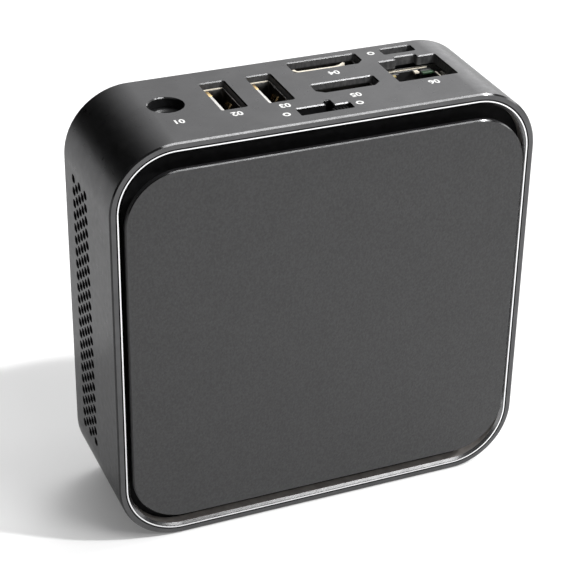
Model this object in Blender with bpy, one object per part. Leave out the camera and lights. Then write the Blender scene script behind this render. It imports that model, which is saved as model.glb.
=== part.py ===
"""Mini PC standing on its front edge, with its port side up and its lid facing -Y.

Sizes are in metres. Depth is measured backwards from the rim of the shell, along +Y, and
one empty carries every piece from that frame to the one where the whole object is centred
above the surface it stands on.
"""
import math

import bmesh
import bpy

MM = 0.001

# Shell
WIDTH = 112.0 * MM
HEIGHT = 112.0 * MM
DEPTH = 37.2 * MM
CORNER_RADIUS = 17.0 * MM
WALL = 2.5 * MM
OUTER_EDGE = 0.35 * MM
RIM_CHAMFER = 0.45 * MM
GAP = 0.3 * MM
CORNER_STEPS = 8
ROUND_STEPS = 20
SMALL_STEPS = 12
FINE_STEPS = 2
SHARP_ANGLE = math.radians(30.0)

# Lid and the groove round it
LID_PROUD = 1.2 * MM
LID_THICK = 1.4 * MM
LID_INSET_SIDE = 3.4 * MM
LID_INSET_END = 6.45 * MM
LID_RADIUS = 14.0 * MM
LID_EDGE = 0.3 * MM
RECESS_DEPTH = 3.2 * MM
TRAY_THICK = 1.6 * MM
PEDESTAL_OVERHANG = 3.0 * MM
LEDGE_THICK = 1.5 * MM
LEDGE_REACH = 2.0 * MM

# Board and the posts that carry it
BOARD_BACK = 13.6 * MM
BOARD_THICK = 1.6 * MM
BOARD_MARGIN = 1.0 * MM
POST_RADIUS = 4.0 * MM
POST_WALL_BITE = 0.5 * MM
SCREW_RADIUS = 1.25 * MM
SCREW_HEAD_RADIUS = 2.4 * MM
SCREW_HEAD = 1.4 * MM
SCREW_REACH = 5.0 * MM
DRIVE_RADIUS = 1.1 * MM
DRIVE_DEPTH = 0.8 * MM

# Bottom cover and its feet, on the far side of the shell
COVER_THICK = 2.4 * MM
COVER_SET = 0.3 * MM
FOOT_RADIUS = 6.0 * MM
FOOT_HEIGHT = 1.6 * MM
FOOT_SPIGOT = 1.8 * MM
FOOT_INSET = 19.0 * MM
GRILLE_COLUMNS = 9
GRILLE_ROWS = 7
GRILLE_PITCH = (4.0 * MM, 5.0 * MM)
GRILLE_SLOT = (1.8 * MM, 3.6 * MM)

# Slots in the left and right sides
VENT_COLUMNS = 5
VENT_ROWS = 22
VENT_PITCH = (2.42 * MM, 3.43 * MM)
VENT_LENGTH = 2.0 * MM
VENT_HEIGHT = 1.55 * MM
VENT_DEPTH = 24.6 * MM

# Sockets on the port side: place across, rise of the middle off the board, and cut-out in the wall
INLET_FROM_CORNER = 4.4 * MM
INLET_RISE = 7.1 * MM
INLET_CUT_RADIUS = 4.4 * MM
INLET_BORE = 3.1 * MM
INLET_PIN = 1.0 * MM
INLET_BODY = (9.6 * MM, 14.0 * MM)
INLET_BORE_DEPTH = 10.0 * MM
DATA_ACROSS = (-19.7 * MM, -7.4 * MM)
DATA_RISE = 7.75 * MM
DATA_CUT = (6.45 * MM, 16.4 * MM)
DATA_SHELL = (5.9 * MM, 15.5 * MM)
DATA_MOUTH = (5.1 * MM, 12.5 * MM)
DATA_LENGTH = 17.0 * MM
DATA_TONGUE = (1.9 * MM, 11.2 * MM)
WIDE_ACROSS = 11.5 * MM
WIDE_RISE = 17.3 * MM
WIDE_CUT = (18.8 * MM, 6.15 * MM)
WIDE_SHELL = (17.6 * MM, 5.4 * MM)
WIDE_BEVEL = 1.6 * MM
SLIM_ACROSS = 11.05 * MM
SLIM_RISE = 3.25 * MM
SLIM_CUT = (16.8 * MM, 5.5 * MM)
SLIM_SHELL = (15.6 * MM, 5.0 * MM)
SLIM_BEVEL = (1.8 * MM, 1.5 * MM)
VIDEO_LENGTH = 13.4 * MM
VIDEO_WALL = 0.4 * MM
VIDEO_TONGUE = (11.0 * MM, 1.2 * MM)
CARRIER_LENGTH = 7.5 * MM
CARRIER_MARGIN = 0.6 * MM
NET_FROM_CORNER = 6.6 * MM
NET_RISE = 6.55 * MM
NET_CUT = (15.9 * MM, 13.1 * MM)
NET_KEYWAY = (5.9 * MM, 1.5 * MM)
NET_LENGTH = 20.0 * MM
NET_WALL = 0.4 * MM
NET_CAVITY = (11.9 * MM, 8.6 * MM)
NET_CAVITY_LENGTH = 14.0 * MM
CONTACTS = 8
CONTACT_PITCH = 1.02 * MM
CONTACT_WIDTH = 0.5 * MM
CONTACT_THICK = 0.4 * MM
CONTACT_DROP = 3.5 * MM
SOCKET_FLOOR = 2.5 * MM
SOCKET_CORNER = 0.6 * MM

# Security slot and the latch slot
LOCK_SLOT = (8.6 * MM, 3.6 * MM)
LOCK_DEPTH = 32.7 * MM
LATCH_SLOT_LEFT = -6.05 * MM
LATCH_SLOT_RIGHT = 7.4 * MM
LATCH_SLOT_FRONT = 4.0 * MM
LATCH_SLOT_BACK = 8.0 * MM
LATCH_STEP = 0.95 * MM
LATCH_NOTCH = (1.74 * MM, 3.43 * MM, 2.0 * MM)
LATCH_KNOB = 4.4 * MM
LATCH_KNOB_DROP = 0.8 * MM
LATCH_PLATE = 1.2 * MM
LATCH_PLATE_DEPTH = 3.6 * MM
LATCH_TAILS = (8.5 * MM, 4.2 * MM)
LATCH_TONGUE = 3.0 * MM
LATCH_TONGUE_DROP = 4.4 * MM
LATCH_TONGUE_THICK = 1.4 * MM
GUIDE_WALL = 1.2 * MM
HOOK_THICK = 1.5 * MM

# Power button and status light, on the side that the object stands on
BUTTON_ACROSS = 34.0 * MM
BUTTON_RISE = 4.7 * MM
BUTTON_RADIUS = 3.6 * MM
BUTTON_FLANGE = 4.4 * MM
BUTTON_SET = 0.5 * MM
BUTTON_STEM = 1.5 * MM
BUTTON_STEM_END = 8.0 * MM
BUTTON_TRAVEL = 0.6 * MM
SWITCH_SIZE = (6.2 * MM, 4.0 * MM)
PLUNGER_RADIUS = 1.2 * MM
PLUNGER_SHOW = 1.4 * MM
PLUNGER_SEAT = 1.4 * MM
LIGHT_ACROSS = 26.0 * MM
LIGHT_RADIUS = 1.0 * MM
LIGHT_LENGTH = 8.0 * MM
LIGHT_FOOT = 3.0 * MM

# Cooling: the processor sits under the blower, and two pipes take its heat to the fins
CHIP_ACROSS = 4.0 * MM
CHIP_SIZE = 26.0 * MM
CHIP_THICK = 1.0 * MM
DIE_SIZE = (12.0 * MM, 10.0 * MM)
DIE_THICK = 0.6 * MM
SPREADER_SIZE = (38.0 * MM, 34.0 * MM)
SPREADER_THICK = 1.6 * MM
PIPE_SPACING = 12.0 * MM
PIPE_WIDTH = 7.0 * MM
PIPE_THICK = 3.0 * MM
PIPE_BEND = 14.5 * MM
FIN_COUNT = 22
FIN_PITCH = 3.1 * MM
FIN_THICK = 0.6 * MM
FIN_HEIGHT = 11.0 * MM
FIN_BASE = 1.0 * MM
FIN_REACH = 10.3 * MM
FIN_CLEARANCE = 0.5 * MM
BLOWER_WALL = 1.7 * MM
BLOWER_CORNER = 6.0 * MM
BLOWER_BASE = 1.2 * MM
BLOWER_HEIGHT = 11.1 * MM
BLOWER_COVER = 1.0 * MM
BLOWER_LEG = 2.5 * MM
BLOWER_LEG_INSET = 4.0 * MM
SCROLL_CLEARANCE = 1.0 * MM
SCROLL_GROWTH = 3.1 * MM
SCROLL_ANGLES = (math.radians(-150.0), math.radians(90.0))
INTAKE_RADIUS = 17.0 * MM
ROTOR_RADIUS = 23.2 * MM
ROTOR_BLADES = 23
ROTOR_HEIGHT = 8.5 * MM
ROTOR_SWEEP = math.radians(24.0)
BLADE_THICK = 0.8 * MM
BLADE_STEPS = 3
HUB_RADIUS = 10.5 * MM
HUB_WALL = 1.4 * MM
SHAFT_RADIUS = 1.0 * MM
BEARING_RADIUS = 2.8 * MM
COIL_RADIUS = 8.4 * MM
COIL_LOBES = 9
COIL_LOBE_DEPTH = 1.6 * MM
COIL_LOBE_STEPS = 4
COIL_HEIGHT = 4.6 * MM

# Cards and cells
MEMORY_ACROSS = -13.0 * MM
MEMORY_SOCKET = (72.0 * MM, 6.5 * MM, 4.6 * MM)
MEMORY_MODULE = (67.6 * MM, 30.0 * MM, 1.0 * MM)
MEMORY_FOOT = 34.0 * MM
MEMORY_PACKAGES = 4
STORAGE_ACROSS = 38.0 * MM
STORAGE_SOCKET = (22.0 * MM, 6.0 * MM, 3.9 * MM)
STORAGE_MODULE = (22.0 * MM, 80.0 * MM, 0.8 * MM)
STORAGE_FOOT = 13.5 * MM
STORAGE_PACKAGES = 3
WIRELESS_ACROSS = 35.0 * MM
WIRELESS_SOCKET = (22.0 * MM, 6.0 * MM, 3.9 * MM)
WIRELESS_MODULE = (22.0 * MM, 30.0 * MM, 0.8 * MM)
WIRELESS_FOOT = 28.0 * MM
WIRELESS_PACKAGES = 1
CARD_BITE = 3.5 * MM
CARD_RISE = 1.7 * MM
PACKAGE_THICK = 1.1 * MM
PACKAGE_SHARE = 2 / 3
CELL_CENTRE = (36.0 * MM, 76.0 * MM)
CELL_RADIUS = 10.0 * MM
CELL_THICK = 3.2 * MM
HOLDER_WALL = 1.2 * MM
ANTENNA_SIZE = (24.0 * MM, 8.0 * MM)
ANTENNA_THICK = 0.4 * MM
ANTENNA_CORNER = 1.8 * MM
ANTENNA_HEIGHT = 44.0 * MM
LEAD_RADIUS = 1.0 * MM
LEAD_REACH = 6.0 * MM
FINE_LEAD_RADIUS = 0.6 * MM
LEAD_STEPS = 6
LEAD_ROUNDNESS = 2

# Places that follow from the sizes above
TOTAL_DEPTH = LID_PROUD + DEPTH + FOOT_HEIGHT
RIM_Y = LID_PROUD - TOTAL_DEPTH / 2
INNER_SIDE = WIDTH / 2 - WALL
INNER_TOP = HEIGHT - WALL
LID_BACK = LID_THICK - LID_PROUD
TRAY_BACK = RECESS_DEPTH + TRAY_THICK
LEDGE_FRONT = TRAY_BACK + GAP
BOARD_FRONT = BOARD_BACK - BOARD_THICK
BOARD_SEAT = BOARD_BACK + GAP
COVER_BACK = DEPTH - COVER_SET
COVER_FRONT = COVER_BACK - COVER_THICK
MOUTH = INNER_TOP - GAP
POST_OFFSET = (CORNER_RADIUS - WALL + POST_WALL_BITE - POST_RADIUS) / math.sqrt(2)
POST_SIDE = WIDTH / 2 - CORNER_RADIUS + POST_OFFSET
POST_LOW = CORNER_RADIUS - POST_OFFSET
POSTS = [(side * POST_SIDE, height) for height in (POST_LOW, HEIGHT - POST_LOW) for side in (-1, 1)]
FLAT_SIDE = WIDTH / 2 - CORNER_RADIUS
INLET_ACROSS = INLET_FROM_CORNER - FLAT_SIDE
INLET_DEPTH = BOARD_SEAT + INLET_RISE
DATA_DEPTH = BOARD_SEAT + DATA_RISE
WIDE_DEPTH = BOARD_SEAT + WIDE_RISE
SLIM_DEPTH = BOARD_SEAT + SLIM_RISE
NET_ACROSS = FLAT_SIDE - NET_FROM_CORNER
NET_DEPTH = BOARD_SEAT + NET_RISE
LOCK_CENTRE = (NET_ACROSS, LOCK_DEPTH)
BUTTON_DEPTH = BOARD_SEAT + BUTTON_RISE
CHIP_CENTRE = (CHIP_ACROSS, HEIGHT / 2)
SPREADER_BACK = BOARD_SEAT + CHIP_THICK + DIE_THICK + GAP + SPREADER_THICK
PIPE_DEPTH = SPREADER_BACK + GAP + PIPE_THICK / 2
BLOWER_FRONT = PIPE_DEPTH + PIPE_THICK / 2 + GAP
FIN_SIDE = FIN_CLEARANCE - INNER_SIDE
SCROLL_START = ROTOR_RADIUS + SCROLL_CLEARANCE
SCROLL_END = SCROLL_START + SCROLL_GROWTH
BLOWER_SIZE = 2 * (SCROLL_END + BLOWER_WALL)
BLOWER_LEFT = FIN_SIDE + FIN_REACH + FIN_CLEARANCE
ROTOR_CENTRE = (BLOWER_LEFT + BLOWER_SIZE / 2, HEIGHT / 2)
ROTOR_FRONT = BLOWER_FRONT + BLOWER_BASE + 2 * GAP

assembly = None


def start_scene():
    """Remove what the scene holds and add the empty that carries every piece."""
    global assembly
    for old in list(bpy.data.objects):
        bpy.data.objects.remove(old, do_unlink=True)
    assembly = bpy.data.objects.new("assembly", None)
    assembly.location = (0.0, RIM_Y, 0.0)
    bpy.context.collection.objects.link(assembly)


def finish(name, colour, roughness, metallic=0.0):
    """One plain material per kind of surface, made once and shared."""
    material = bpy.data.materials.get(name)
    if material is None:
        material = bpy.data.materials.new(name)
        material.use_nodes = True
        shader = material.node_tree.nodes["Principled BSDF"]
        shader.inputs["Base Color"].default_value = (*colour, 1.0)
        shader.inputs["Roughness"].default_value = roughness
        shader.inputs["Metallic"].default_value = metallic
    return material


def satin_metal():
    return finish("satin_metal", (0.10, 0.10, 0.105), 0.38, 0.8)


def dark_plate():
    return finish("dark_plate", (0.045, 0.045, 0.047), 0.55)


def black_plastic():
    return finish("black_plastic", (0.012, 0.012, 0.013), 0.35)


def rubber():
    return finish("rubber", (0.02, 0.02, 0.02), 0.85)


def steel():
    return finish("steel", (0.62, 0.62, 0.60), 0.28, 1.0)


def copper():
    return finish("copper", (0.72, 0.36, 0.20), 0.32, 1.0)


def aluminium():
    return finish("aluminium", (0.70, 0.71, 0.72), 0.35, 1.0)


def gold():
    return finish("gold", (0.83, 0.60, 0.26), 0.25, 1.0)


def board_green():
    return finish("board_green", (0.02, 0.10, 0.05), 0.45)


def clear_plastic():
    return finish("clear_plastic", (0.80, 0.82, 0.84), 0.15)


def rounded(width, height, radius, centre=(0.0, 0.0), steps=CORNER_STEPS):
    """Outline of a rectangle with round corners, anticlockwise."""
    points = []
    for corner, (right, up) in enumerate(((1, 1), (-1, 1), (-1, -1), (1, -1))):
        for step in range(steps + 1):
            angle = (corner + step / steps) * math.pi / 2
            points.append((centre[0] + right * (width / 2 - radius) + radius * math.cos(angle),
                           centre[1] + up * (height / 2 - radius) + radius * math.sin(angle)))
    return points


def rectangle(low_u, high_u, low_v, high_v):
    return [(low_u, low_v), (high_u, low_v), (high_u, high_v), (low_u, high_v)]


def centred(size, centre):
    """Outline of a plain rectangle round its centre."""
    return rectangle(centre[0] - size[0] / 2, centre[0] + size[0] / 2,
                     centre[1] - size[1] / 2, centre[1] + size[1] / 2)


def circle(radius, centre=(0.0, 0.0), steps=ROUND_STEPS):
    return [(centre[0] + radius * math.cos(2 * math.pi * k / steps),
             centre[1] + radius * math.sin(2 * math.pi * k / steps)) for k in range(steps)]


def slot_outline(width, height, centre):
    """Upright slot with pointed ends, which stand for its round ones."""
    u, v = centre
    straight = height / 2 - width / 2
    return [(u + width / 2, v - straight), (u + width / 2, v + straight), (u, v + height / 2),
            (u - width / 2, v + straight), (u - width / 2, v - straight), (u, v - height / 2)]


def lattice(columns, rows, pitch, centre):
    """Centres of staggered columns, every other one a row shorter and half a pitch up."""
    places = []
    for column in range(columns):
        count = rows - column % 2
        for row in range(count):
            places.append((centre[0] + (column - (columns - 1) / 2) * pitch[0],
                           centre[1] + (row - (count - 1) / 2) * pitch[1]))
    return places


def raised(outline, level, axis):
    """Put a flat outline at a level along X (depth, height), Y (across, height) or Z (across, depth)."""
    if axis == "X":
        return [(level, u, v) for u, v in outline]
    if axis == "Y":
        return [(u, level, v) for u, v in outline]
    return [(u, v, level) for u, v in outline]


def skin(bm, loops, ring):
    """Faces between a row of point loops, joined up in a ring or capped at both ends."""
    rows = [[bm.verts.new(point) for point in loop] for loop in loops]
    following = rows[1:] + rows[:1] if ring else rows[1:]
    for row, after in zip(rows, following):
        for k in range(len(row)):
            ahead = (k + 1) % len(row)
            bm.faces.new((row[k], row[ahead], after[ahead], after[k]))
    if not ring:
        bm.faces.new(rows[0])
        bm.faces.new(list(reversed(rows[-1])))


def solid(*bodies):
    """Mesh of one or more closed bodies, each a list of loops with or without a ring mark."""
    bm = bmesh.new()
    for loops, ring in bodies:
        skin(bm, loops, ring)
    bmesh.ops.recalc_face_normals(bm, faces=bm.faces)
    mesh = bpy.data.meshes.new("solid")
    bm.to_mesh(mesh)
    bm.free()
    return mesh


def prism(outline, low, high, axis):
    return [raised(outline, low, axis), raised(outline, high, axis)], False


def loft(sections, axis, ring=False):
    """Body through flat outlines, each with its level."""
    return [raised(outline, level, axis) for outline, level in sections], ring


def turned(profile, axis, centre=(0.0, 0.0), steps=ROUND_STEPS, ring=False):
    """Round body through (radius, level) pairs along an axis."""
    return loft([(circle(radius, centre, steps), level) for radius, level in profile], axis, ring)


def box(across, depth, height):
    """Rectangular body from its limits in the three directions."""
    return prism(rectangle(*across, *depth), *height, "Z")


def add(name, mesh, material, place=(0.0, 0.0, 0.0)):
    """Named object of the assembly, with its origin at the given place."""
    mesh.name = name
    piece = bpy.data.objects.new(name, mesh)
    bpy.context.collection.objects.link(piece)
    piece.parent = assembly
    piece.location = place
    mesh.materials.append(material)
    mesh.shade_smooth()
    mesh.set_sharp_from_angle(angle=SHARP_ANGLE)
    return piece


def combine(piece, operation, mesh):
    """Join a mesh to a piece or cut it away, with a hidden guide object."""
    guide = bpy.data.objects.new(piece.name + "_guide", mesh)
    bpy.context.collection.objects.link(guide)
    guide.parent = assembly
    guide.location = piece.location
    guide.hide_render = True
    guide.display_type = "WIRE"
    change = piece.modifiers.new(operation.lower(), "BOOLEAN")
    change.operation = operation
    change.solver = "EXACT"
    change.object = guide


def shell_outline(inset):
    """Outline of the shell, drawn in by an amount on every side."""
    return rounded(WIDTH - 2 * inset, HEIGHT - 2 * inset, CORNER_RADIUS - inset, (0.0, HEIGHT / 2))


def lid_outline(inset):
    return rounded(WIDTH - 2 * (LID_INSET_SIDE + inset), HEIGHT - 2 * (LID_INSET_END + inset),
                   LID_RADIUS - inset, (0.0, HEIGHT / 2))


def bevelled(size, centre, cuts):
    """Rectangle with some corners cut; cuts gives (across, depth) for each corner from front left."""
    u, v = size[0] / 2, size[1] / 2
    points = []
    for (right, back), (cut_u, cut_v) in zip(((-1, -1), (1, -1), (1, 1), (-1, 1)), cuts):
        along = (centre[0] + right * (u - cut_u), centre[1] + back * v)
        beside = (centre[0] + right * u, centre[1] + back * (v - cut_v))
        points += [beside, along] if right * back > 0 else [along, beside]
    return points


def slim_outline(size):
    """Long socket with both front corners cut, which faces its wide side to the back."""
    plain = (SOCKET_CORNER / 2, SOCKET_CORNER / 2)
    return bevelled(size, (SLIM_ACROSS, SLIM_DEPTH), (SLIM_BEVEL, SLIM_BEVEL, plain, plain))


def wide_outline(size):
    """Long socket with one cut corner."""
    plain = (SOCKET_CORNER / 2, SOCKET_CORNER / 2)
    cut = (WIDE_BEVEL, WIDE_BEVEL)
    return bevelled(size, (WIDE_ACROSS, WIDE_DEPTH), (plain, cut, plain, plain))


def network_outline(size, keyway):
    """Square socket with a step at the back for the plug's catch."""
    low_u, high_u = NET_ACROSS - size[0] / 2, NET_ACROSS + size[0] / 2
    low_v, high_v = NET_DEPTH - size[1] / 2, NET_DEPTH + size[1] / 2
    key = keyway[0] / 2
    return [(low_u, low_v), (high_u, low_v), (high_u, high_v), (NET_ACROSS + key, high_v),
            (NET_ACROSS + key, high_v + keyway[1]), (NET_ACROSS - key, high_v + keyway[1]),
            (NET_ACROSS - key, high_v), (low_u, high_v)]


def latch_outline():
    """Split slot: full depth on the left, a step shallower on the right, with a notch between."""
    notch_left, notch_right, notch_depth = LATCH_NOTCH
    back = LATCH_SLOT_BACK
    return [(LATCH_SLOT_LEFT, LATCH_SLOT_FRONT), (LATCH_SLOT_RIGHT, LATCH_SLOT_FRONT),
            (LATCH_SLOT_RIGHT, back - LATCH_STEP), (notch_right, back - LATCH_STEP),
            (notch_right, back + notch_depth), (notch_left, back + notch_depth),
            (notch_left, back), (LATCH_SLOT_LEFT, back)]


def latch_travel():
    """Way the slider's knob has in its slot, less a gap at either end."""
    return LATCH_SLOT_RIGHT - LATCH_SLOT_LEFT - LATCH_KNOB - 2 * GAP


def latch_limits():
    """Left and right end of the slider's plate at rest, with its knob at the right."""
    knob_right = LATCH_SLOT_RIGHT - GAP
    return knob_right - LATCH_KNOB - LATCH_TAILS[0], knob_right + LATCH_TAILS[1]


def guide_limits():
    """Left and right end of the space that the slider's plate runs in."""
    left, right = latch_limits()
    return left - latch_travel() - GAP, right + GAP


def port_cutters():
    """Cut-outs through the upper wall, one body each."""
    low, high = INNER_TOP - WALL / 2, HEIGHT + WALL
    outlines = [circle(INLET_CUT_RADIUS, (INLET_ACROSS, INLET_DEPTH))]
    for across in DATA_ACROSS:
        outlines.append(rounded(*DATA_CUT, SOCKET_CORNER, (across, DATA_DEPTH), FINE_STEPS))
    outlines += [wide_outline(WIDE_CUT), slim_outline(SLIM_CUT), centred(LOCK_SLOT, LOCK_CENTRE),
                 network_outline(NET_CUT, NET_KEYWAY), latch_outline()]
    return [prism(outline, low, high, "Z") for outline in outlines]


def vent_cutters():
    """Slots through the left and right walls, which lie along the depth."""
    bodies = []
    for side in (-1, 1):
        for depth, height in lattice(VENT_COLUMNS, VENT_ROWS, VENT_PITCH, (VENT_DEPTH, HEIGHT / 2)):
            upright = slot_outline(VENT_HEIGHT, VENT_LENGTH, (height, depth))
            outline = [(along, up) for up, along in upright]
            bodies.append(prism(outline, side * (WIDTH / 2 + WALL), side * (INNER_SIDE - WALL / 2), "X"))
    return bodies


def front_cutters():
    """Holes for the button and the light in the wall that the object stands on."""
    holes = ((BUTTON_RADIUS + GAP, BUTTON_ACROSS), (LIGHT_RADIUS + GAP, LIGHT_ACROSS))
    return [prism(circle(radius, (across, BUTTON_DEPTH)), -WALL, 2 * WALL, "Z")
            for radius, across in holes]


def pilot_cutters():
    """Screw holes in both ends of the posts."""
    reach = SCREW_REACH + 2 * GAP
    front, back = BOARD_SEAT, COVER_FRONT - GAP
    bodies = []
    for post in POSTS:
        outline = circle(SCREW_RADIUS + GAP, post, SMALL_STEPS)
        bodies.append(prism(outline, front - WALL, front + reach, "Y"))
        bodies.append(prism(outline, back - reach, back + WALL, "Y"))
    return bodies


def build_shell():
    """Frame with its polished rim, tray ledge, screw posts, ports and slots."""
    inner = shell_outline(WALL)
    ledge = shell_outline(WALL + LEDGE_REACH)
    shell = add("main_shell", solid(loft([
        (shell_outline(0.0), OUTER_EDGE), (shell_outline(OUTER_EDGE), 0.0),
        (shell_outline(WALL - RIM_CHAMFER), 0.0), (inner, RIM_CHAMFER),
        (inner, LEDGE_FRONT), (ledge, LEDGE_FRONT),
        (ledge, LEDGE_FRONT + LEDGE_THICK), (inner, LEDGE_FRONT + LEDGE_THICK),
        (inner, DEPTH), (shell_outline(OUTER_EDGE), DEPTH),
        (shell_outline(0.0), DEPTH - OUTER_EDGE)], "Y", ring=True)), satin_metal())
    posts = [prism(circle(POST_RADIUS, post), BOARD_SEAT, COVER_FRONT - GAP, "Y") for post in POSTS]
    combine(shell, "UNION", solid(*posts))
    combine(shell, "DIFFERENCE", solid(*port_cutters(), *vent_cutters(), *front_cutters()))
    left, right = guide_limits()
    room = GUIDE_WALL + GAP
    pocket = box((left - room, right + room), (TRAY_BACK + GAP / 2, LEDGE_FRONT + LEDGE_THICK + GAP),
                 (INNER_TOP - LEDGE_REACH - GAP, INNER_TOP + GAP / 2))
    combine(shell, "DIFFERENCE", solid(pocket, *pilot_cutters()))


def build_lid():
    """Plate that stands proud, and the tray that carries it on a hollow block."""
    add("lid_panel", solid(loft([(lid_outline(0.0), LID_BACK), (lid_outline(0.0), LID_EDGE - LID_PROUD),
                                 (lid_outline(LID_EDGE), -LID_PROUD)], "Y")), dark_plate())
    edge = shell_outline(WALL + GAP)
    block = lid_outline(PEDESTAL_OVERHANG)
    hollow = lid_outline(PEDESTAL_OVERHANG + TRAY_THICK)
    block_front = LID_BACK + GAP
    tray = add("lid_tray", solid(loft([
        (hollow, block_front + TRAY_THICK), (hollow, TRAY_BACK), (edge, TRAY_BACK),
        (edge, RECESS_DEPTH), (block, RECESS_DEPTH), (block, block_front)], "Y")), black_plastic())
    combine(tray, "UNION", solid(tray_hook()))


def tongue_limits():
    """Left and right end of the slider's tongue at rest."""
    knob_left = LATCH_SLOT_RIGHT - GAP - LATCH_KNOB
    return knob_left, knob_left + LATCH_TONGUE


def tongue_depths():
    """Depths between which the tongue lies, clear of the tray."""
    front = LEDGE_FRONT + GAP
    return front, front + LATCH_TONGUE_THICK


def guide_floor():
    """Upper and lower face of the guide's floor, under the slider's plate."""
    upper = INNER_TOP - 2 * GAP - LATCH_PLATE
    return upper - GUIDE_WALL, upper


def tray_hook():
    """Hook on the back of the tray whose foot the tongue lies in front of."""
    left, right = tongue_limits()
    foot = tongue_depths()[1] + GAP
    leg = right + 2 * GAP
    outline = [(leg, TRAY_BACK - TRAY_THICK / 2), (leg + HOOK_THICK, TRAY_BACK - TRAY_THICK / 2),
               (leg + HOOK_THICK, foot + HOOK_THICK), (left, foot + HOOK_THICK), (left, foot), (leg, foot)]
    high = guide_floor()[0] - GAP
    return prism(outline, high - LATCH_TONGUE, high, "Z")


def build_latch():
    """Slider behind the split slot, and the guide that holds it to the wall."""
    left, right = latch_limits()
    floor_low, floor_high = guide_floor()
    plate_low = floor_high + GAP
    knob_left = tongue_limits()[0]
    front = LEDGE_FRONT
    plate = box((left - knob_left, right - knob_left), (0.0, LATCH_PLATE_DEPTH), (0.0, LATCH_PLATE))
    latch = add("lid_latch", solid(plate), black_plastic(), (knob_left, front, plate_low))
    bury = LATCH_PLATE / 2
    knob = box((0.0, LATCH_KNOB), (GAP, LATCH_SLOT_BACK - LATCH_STEP - GAP - front),
               (bury, HEIGHT - LATCH_KNOB_DROP - plate_low))
    tongue = box((0.0, LATCH_TONGUE), [depth - front for depth in tongue_depths()],
                 (-LATCH_TONGUE_DROP, bury))
    combine(latch, "UNION", solid(knob, tongue))

    space_left, space_right = guide_limits()
    outer = (space_left - GUIDE_WALL, space_right + GUIDE_WALL)
    channel = [(outer[0], floor_low), (outer[1], floor_low), (outer[1], INNER_TOP - GAP),
               (space_right, INNER_TOP - GAP), (space_right, floor_high), (space_left, floor_high),
               (space_left, INNER_TOP - GAP), (outer[0], INNER_TOP - GAP)]
    back = front + LATCH_PLATE_DEPTH + 2 * GAP
    guide = add("latch_guide", solid(prism(channel, front, back, "Y")), black_plastic())
    tongue_left, tongue_right = tongue_limits()
    window = box((tongue_left - latch_travel() - GAP, tongue_right + GAP),
                 (tongue_depths()[0] - 2 * GAP, tongue_depths()[1] + GAP),
                 (floor_low - GUIDE_WALL, floor_high + GAP / 2))
    combine(guide, "DIFFERENCE", solid(window))


def screw_profile(head_end, tip):
    """Screw from its head to its tip, with a round drive in the head."""
    way = 1 if tip > head_end else -1
    seat = head_end + way * SCREW_HEAD
    floor = head_end + way * DRIVE_DEPTH
    return [(DRIVE_RADIUS, floor), (DRIVE_RADIUS, head_end), (SCREW_HEAD_RADIUS, head_end),
            (SCREW_HEAD_RADIUS, seat), (SCREW_RADIUS, seat), (SCREW_RADIUS, tip)]


def build_bottom_cover():
    """Cover in the far end of the shell, with its grille, screws and push-in feet."""
    cover = add("bottom_cover", solid(prism(shell_outline(WALL + GAP), COVER_FRONT, COVER_BACK, "Y")),
                black_plastic())
    sink = SCREW_HEAD + GAP
    feet = [(side * (WIDTH / 2 - FOOT_INSET), height)
            for height in (FOOT_INSET, HEIGHT - FOOT_INSET) for side in (-1, 1)]
    cutters = [prism(slot_outline(*GRILLE_SLOT, place), COVER_FRONT - WALL, COVER_BACK + WALL, "Y")
               for place in lattice(GRILLE_COLUMNS, GRILLE_ROWS, GRILLE_PITCH, ROTOR_CENTRE)]
    for foot in feet:
        cutters.append(prism(circle(FOOT_SPIGOT + GAP, foot, SMALL_STEPS), COVER_FRONT - WALL,
                             COVER_BACK + WALL, "Y"))
    hole, head_hole = SCREW_RADIUS + GAP, SCREW_HEAD_RADIUS + GAP
    for post in POSTS:
        cutters.append(turned([(hole, COVER_FRONT - WALL), (hole, COVER_BACK - sink),
                               (head_hole, COVER_BACK - sink), (head_hole, COVER_BACK + WALL)],
                              "Y", post, SMALL_STEPS))
    combine(cover, "DIFFERENCE", solid(*cutters))
    profile = screw_profile(COVER_BACK, COVER_FRONT - GAP - SCREW_REACH)
    for number, post in enumerate(POSTS, 1):
        add(f"cover_screw_{number}", solid(turned(profile, "Y", post, SMALL_STEPS)), steel())
    seat, sole = COVER_BACK + GAP, DEPTH + FOOT_HEIGHT
    profile = [(FOOT_SPIGOT, COVER_FRONT), (FOOT_SPIGOT, seat), (FOOT_RADIUS, seat),
               (FOOT_RADIUS, sole - OUTER_EDGE), (FOOT_RADIUS - OUTER_EDGE, sole)]
    for number, foot in enumerate(feet, 1):
        add(f"rubber_foot_{number}", solid(turned(profile, "Y", foot)), rubber())


def build_board():
    """Mainboard on the front ends of the posts, with its four screws."""
    inset = WALL + BOARD_MARGIN
    board = add("mainboard", solid(prism(shell_outline(inset), BOARD_FRONT, BOARD_BACK, "Y")),
                board_green())
    holes = [prism(circle(SCREW_RADIUS + GAP, post, SMALL_STEPS), BOARD_FRONT - WALL,
                   BOARD_BACK + WALL, "Y") for post in POSTS]
    combine(board, "DIFFERENCE", solid(*holes))
    profile = screw_profile(BOARD_FRONT - GAP - SCREW_HEAD, BOARD_SEAT + SCREW_REACH)
    for number, post in enumerate(POSTS, 1):
        add(f"board_screw_{number}", solid(turned(profile, "Y", post, SMALL_STEPS)), steel())


def socket_cup(name, outline, bore, length, material):
    """Socket that opens upwards, closed at its back, with its mouth behind the wall."""
    back = MOUTH - length
    floor = back + SOCKET_FLOOR
    add(name, solid(loft([(outline, back), (outline, MOUTH), (bore, MOUTH), (bore, floor)], "Z")), material)
    return floor


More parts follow.
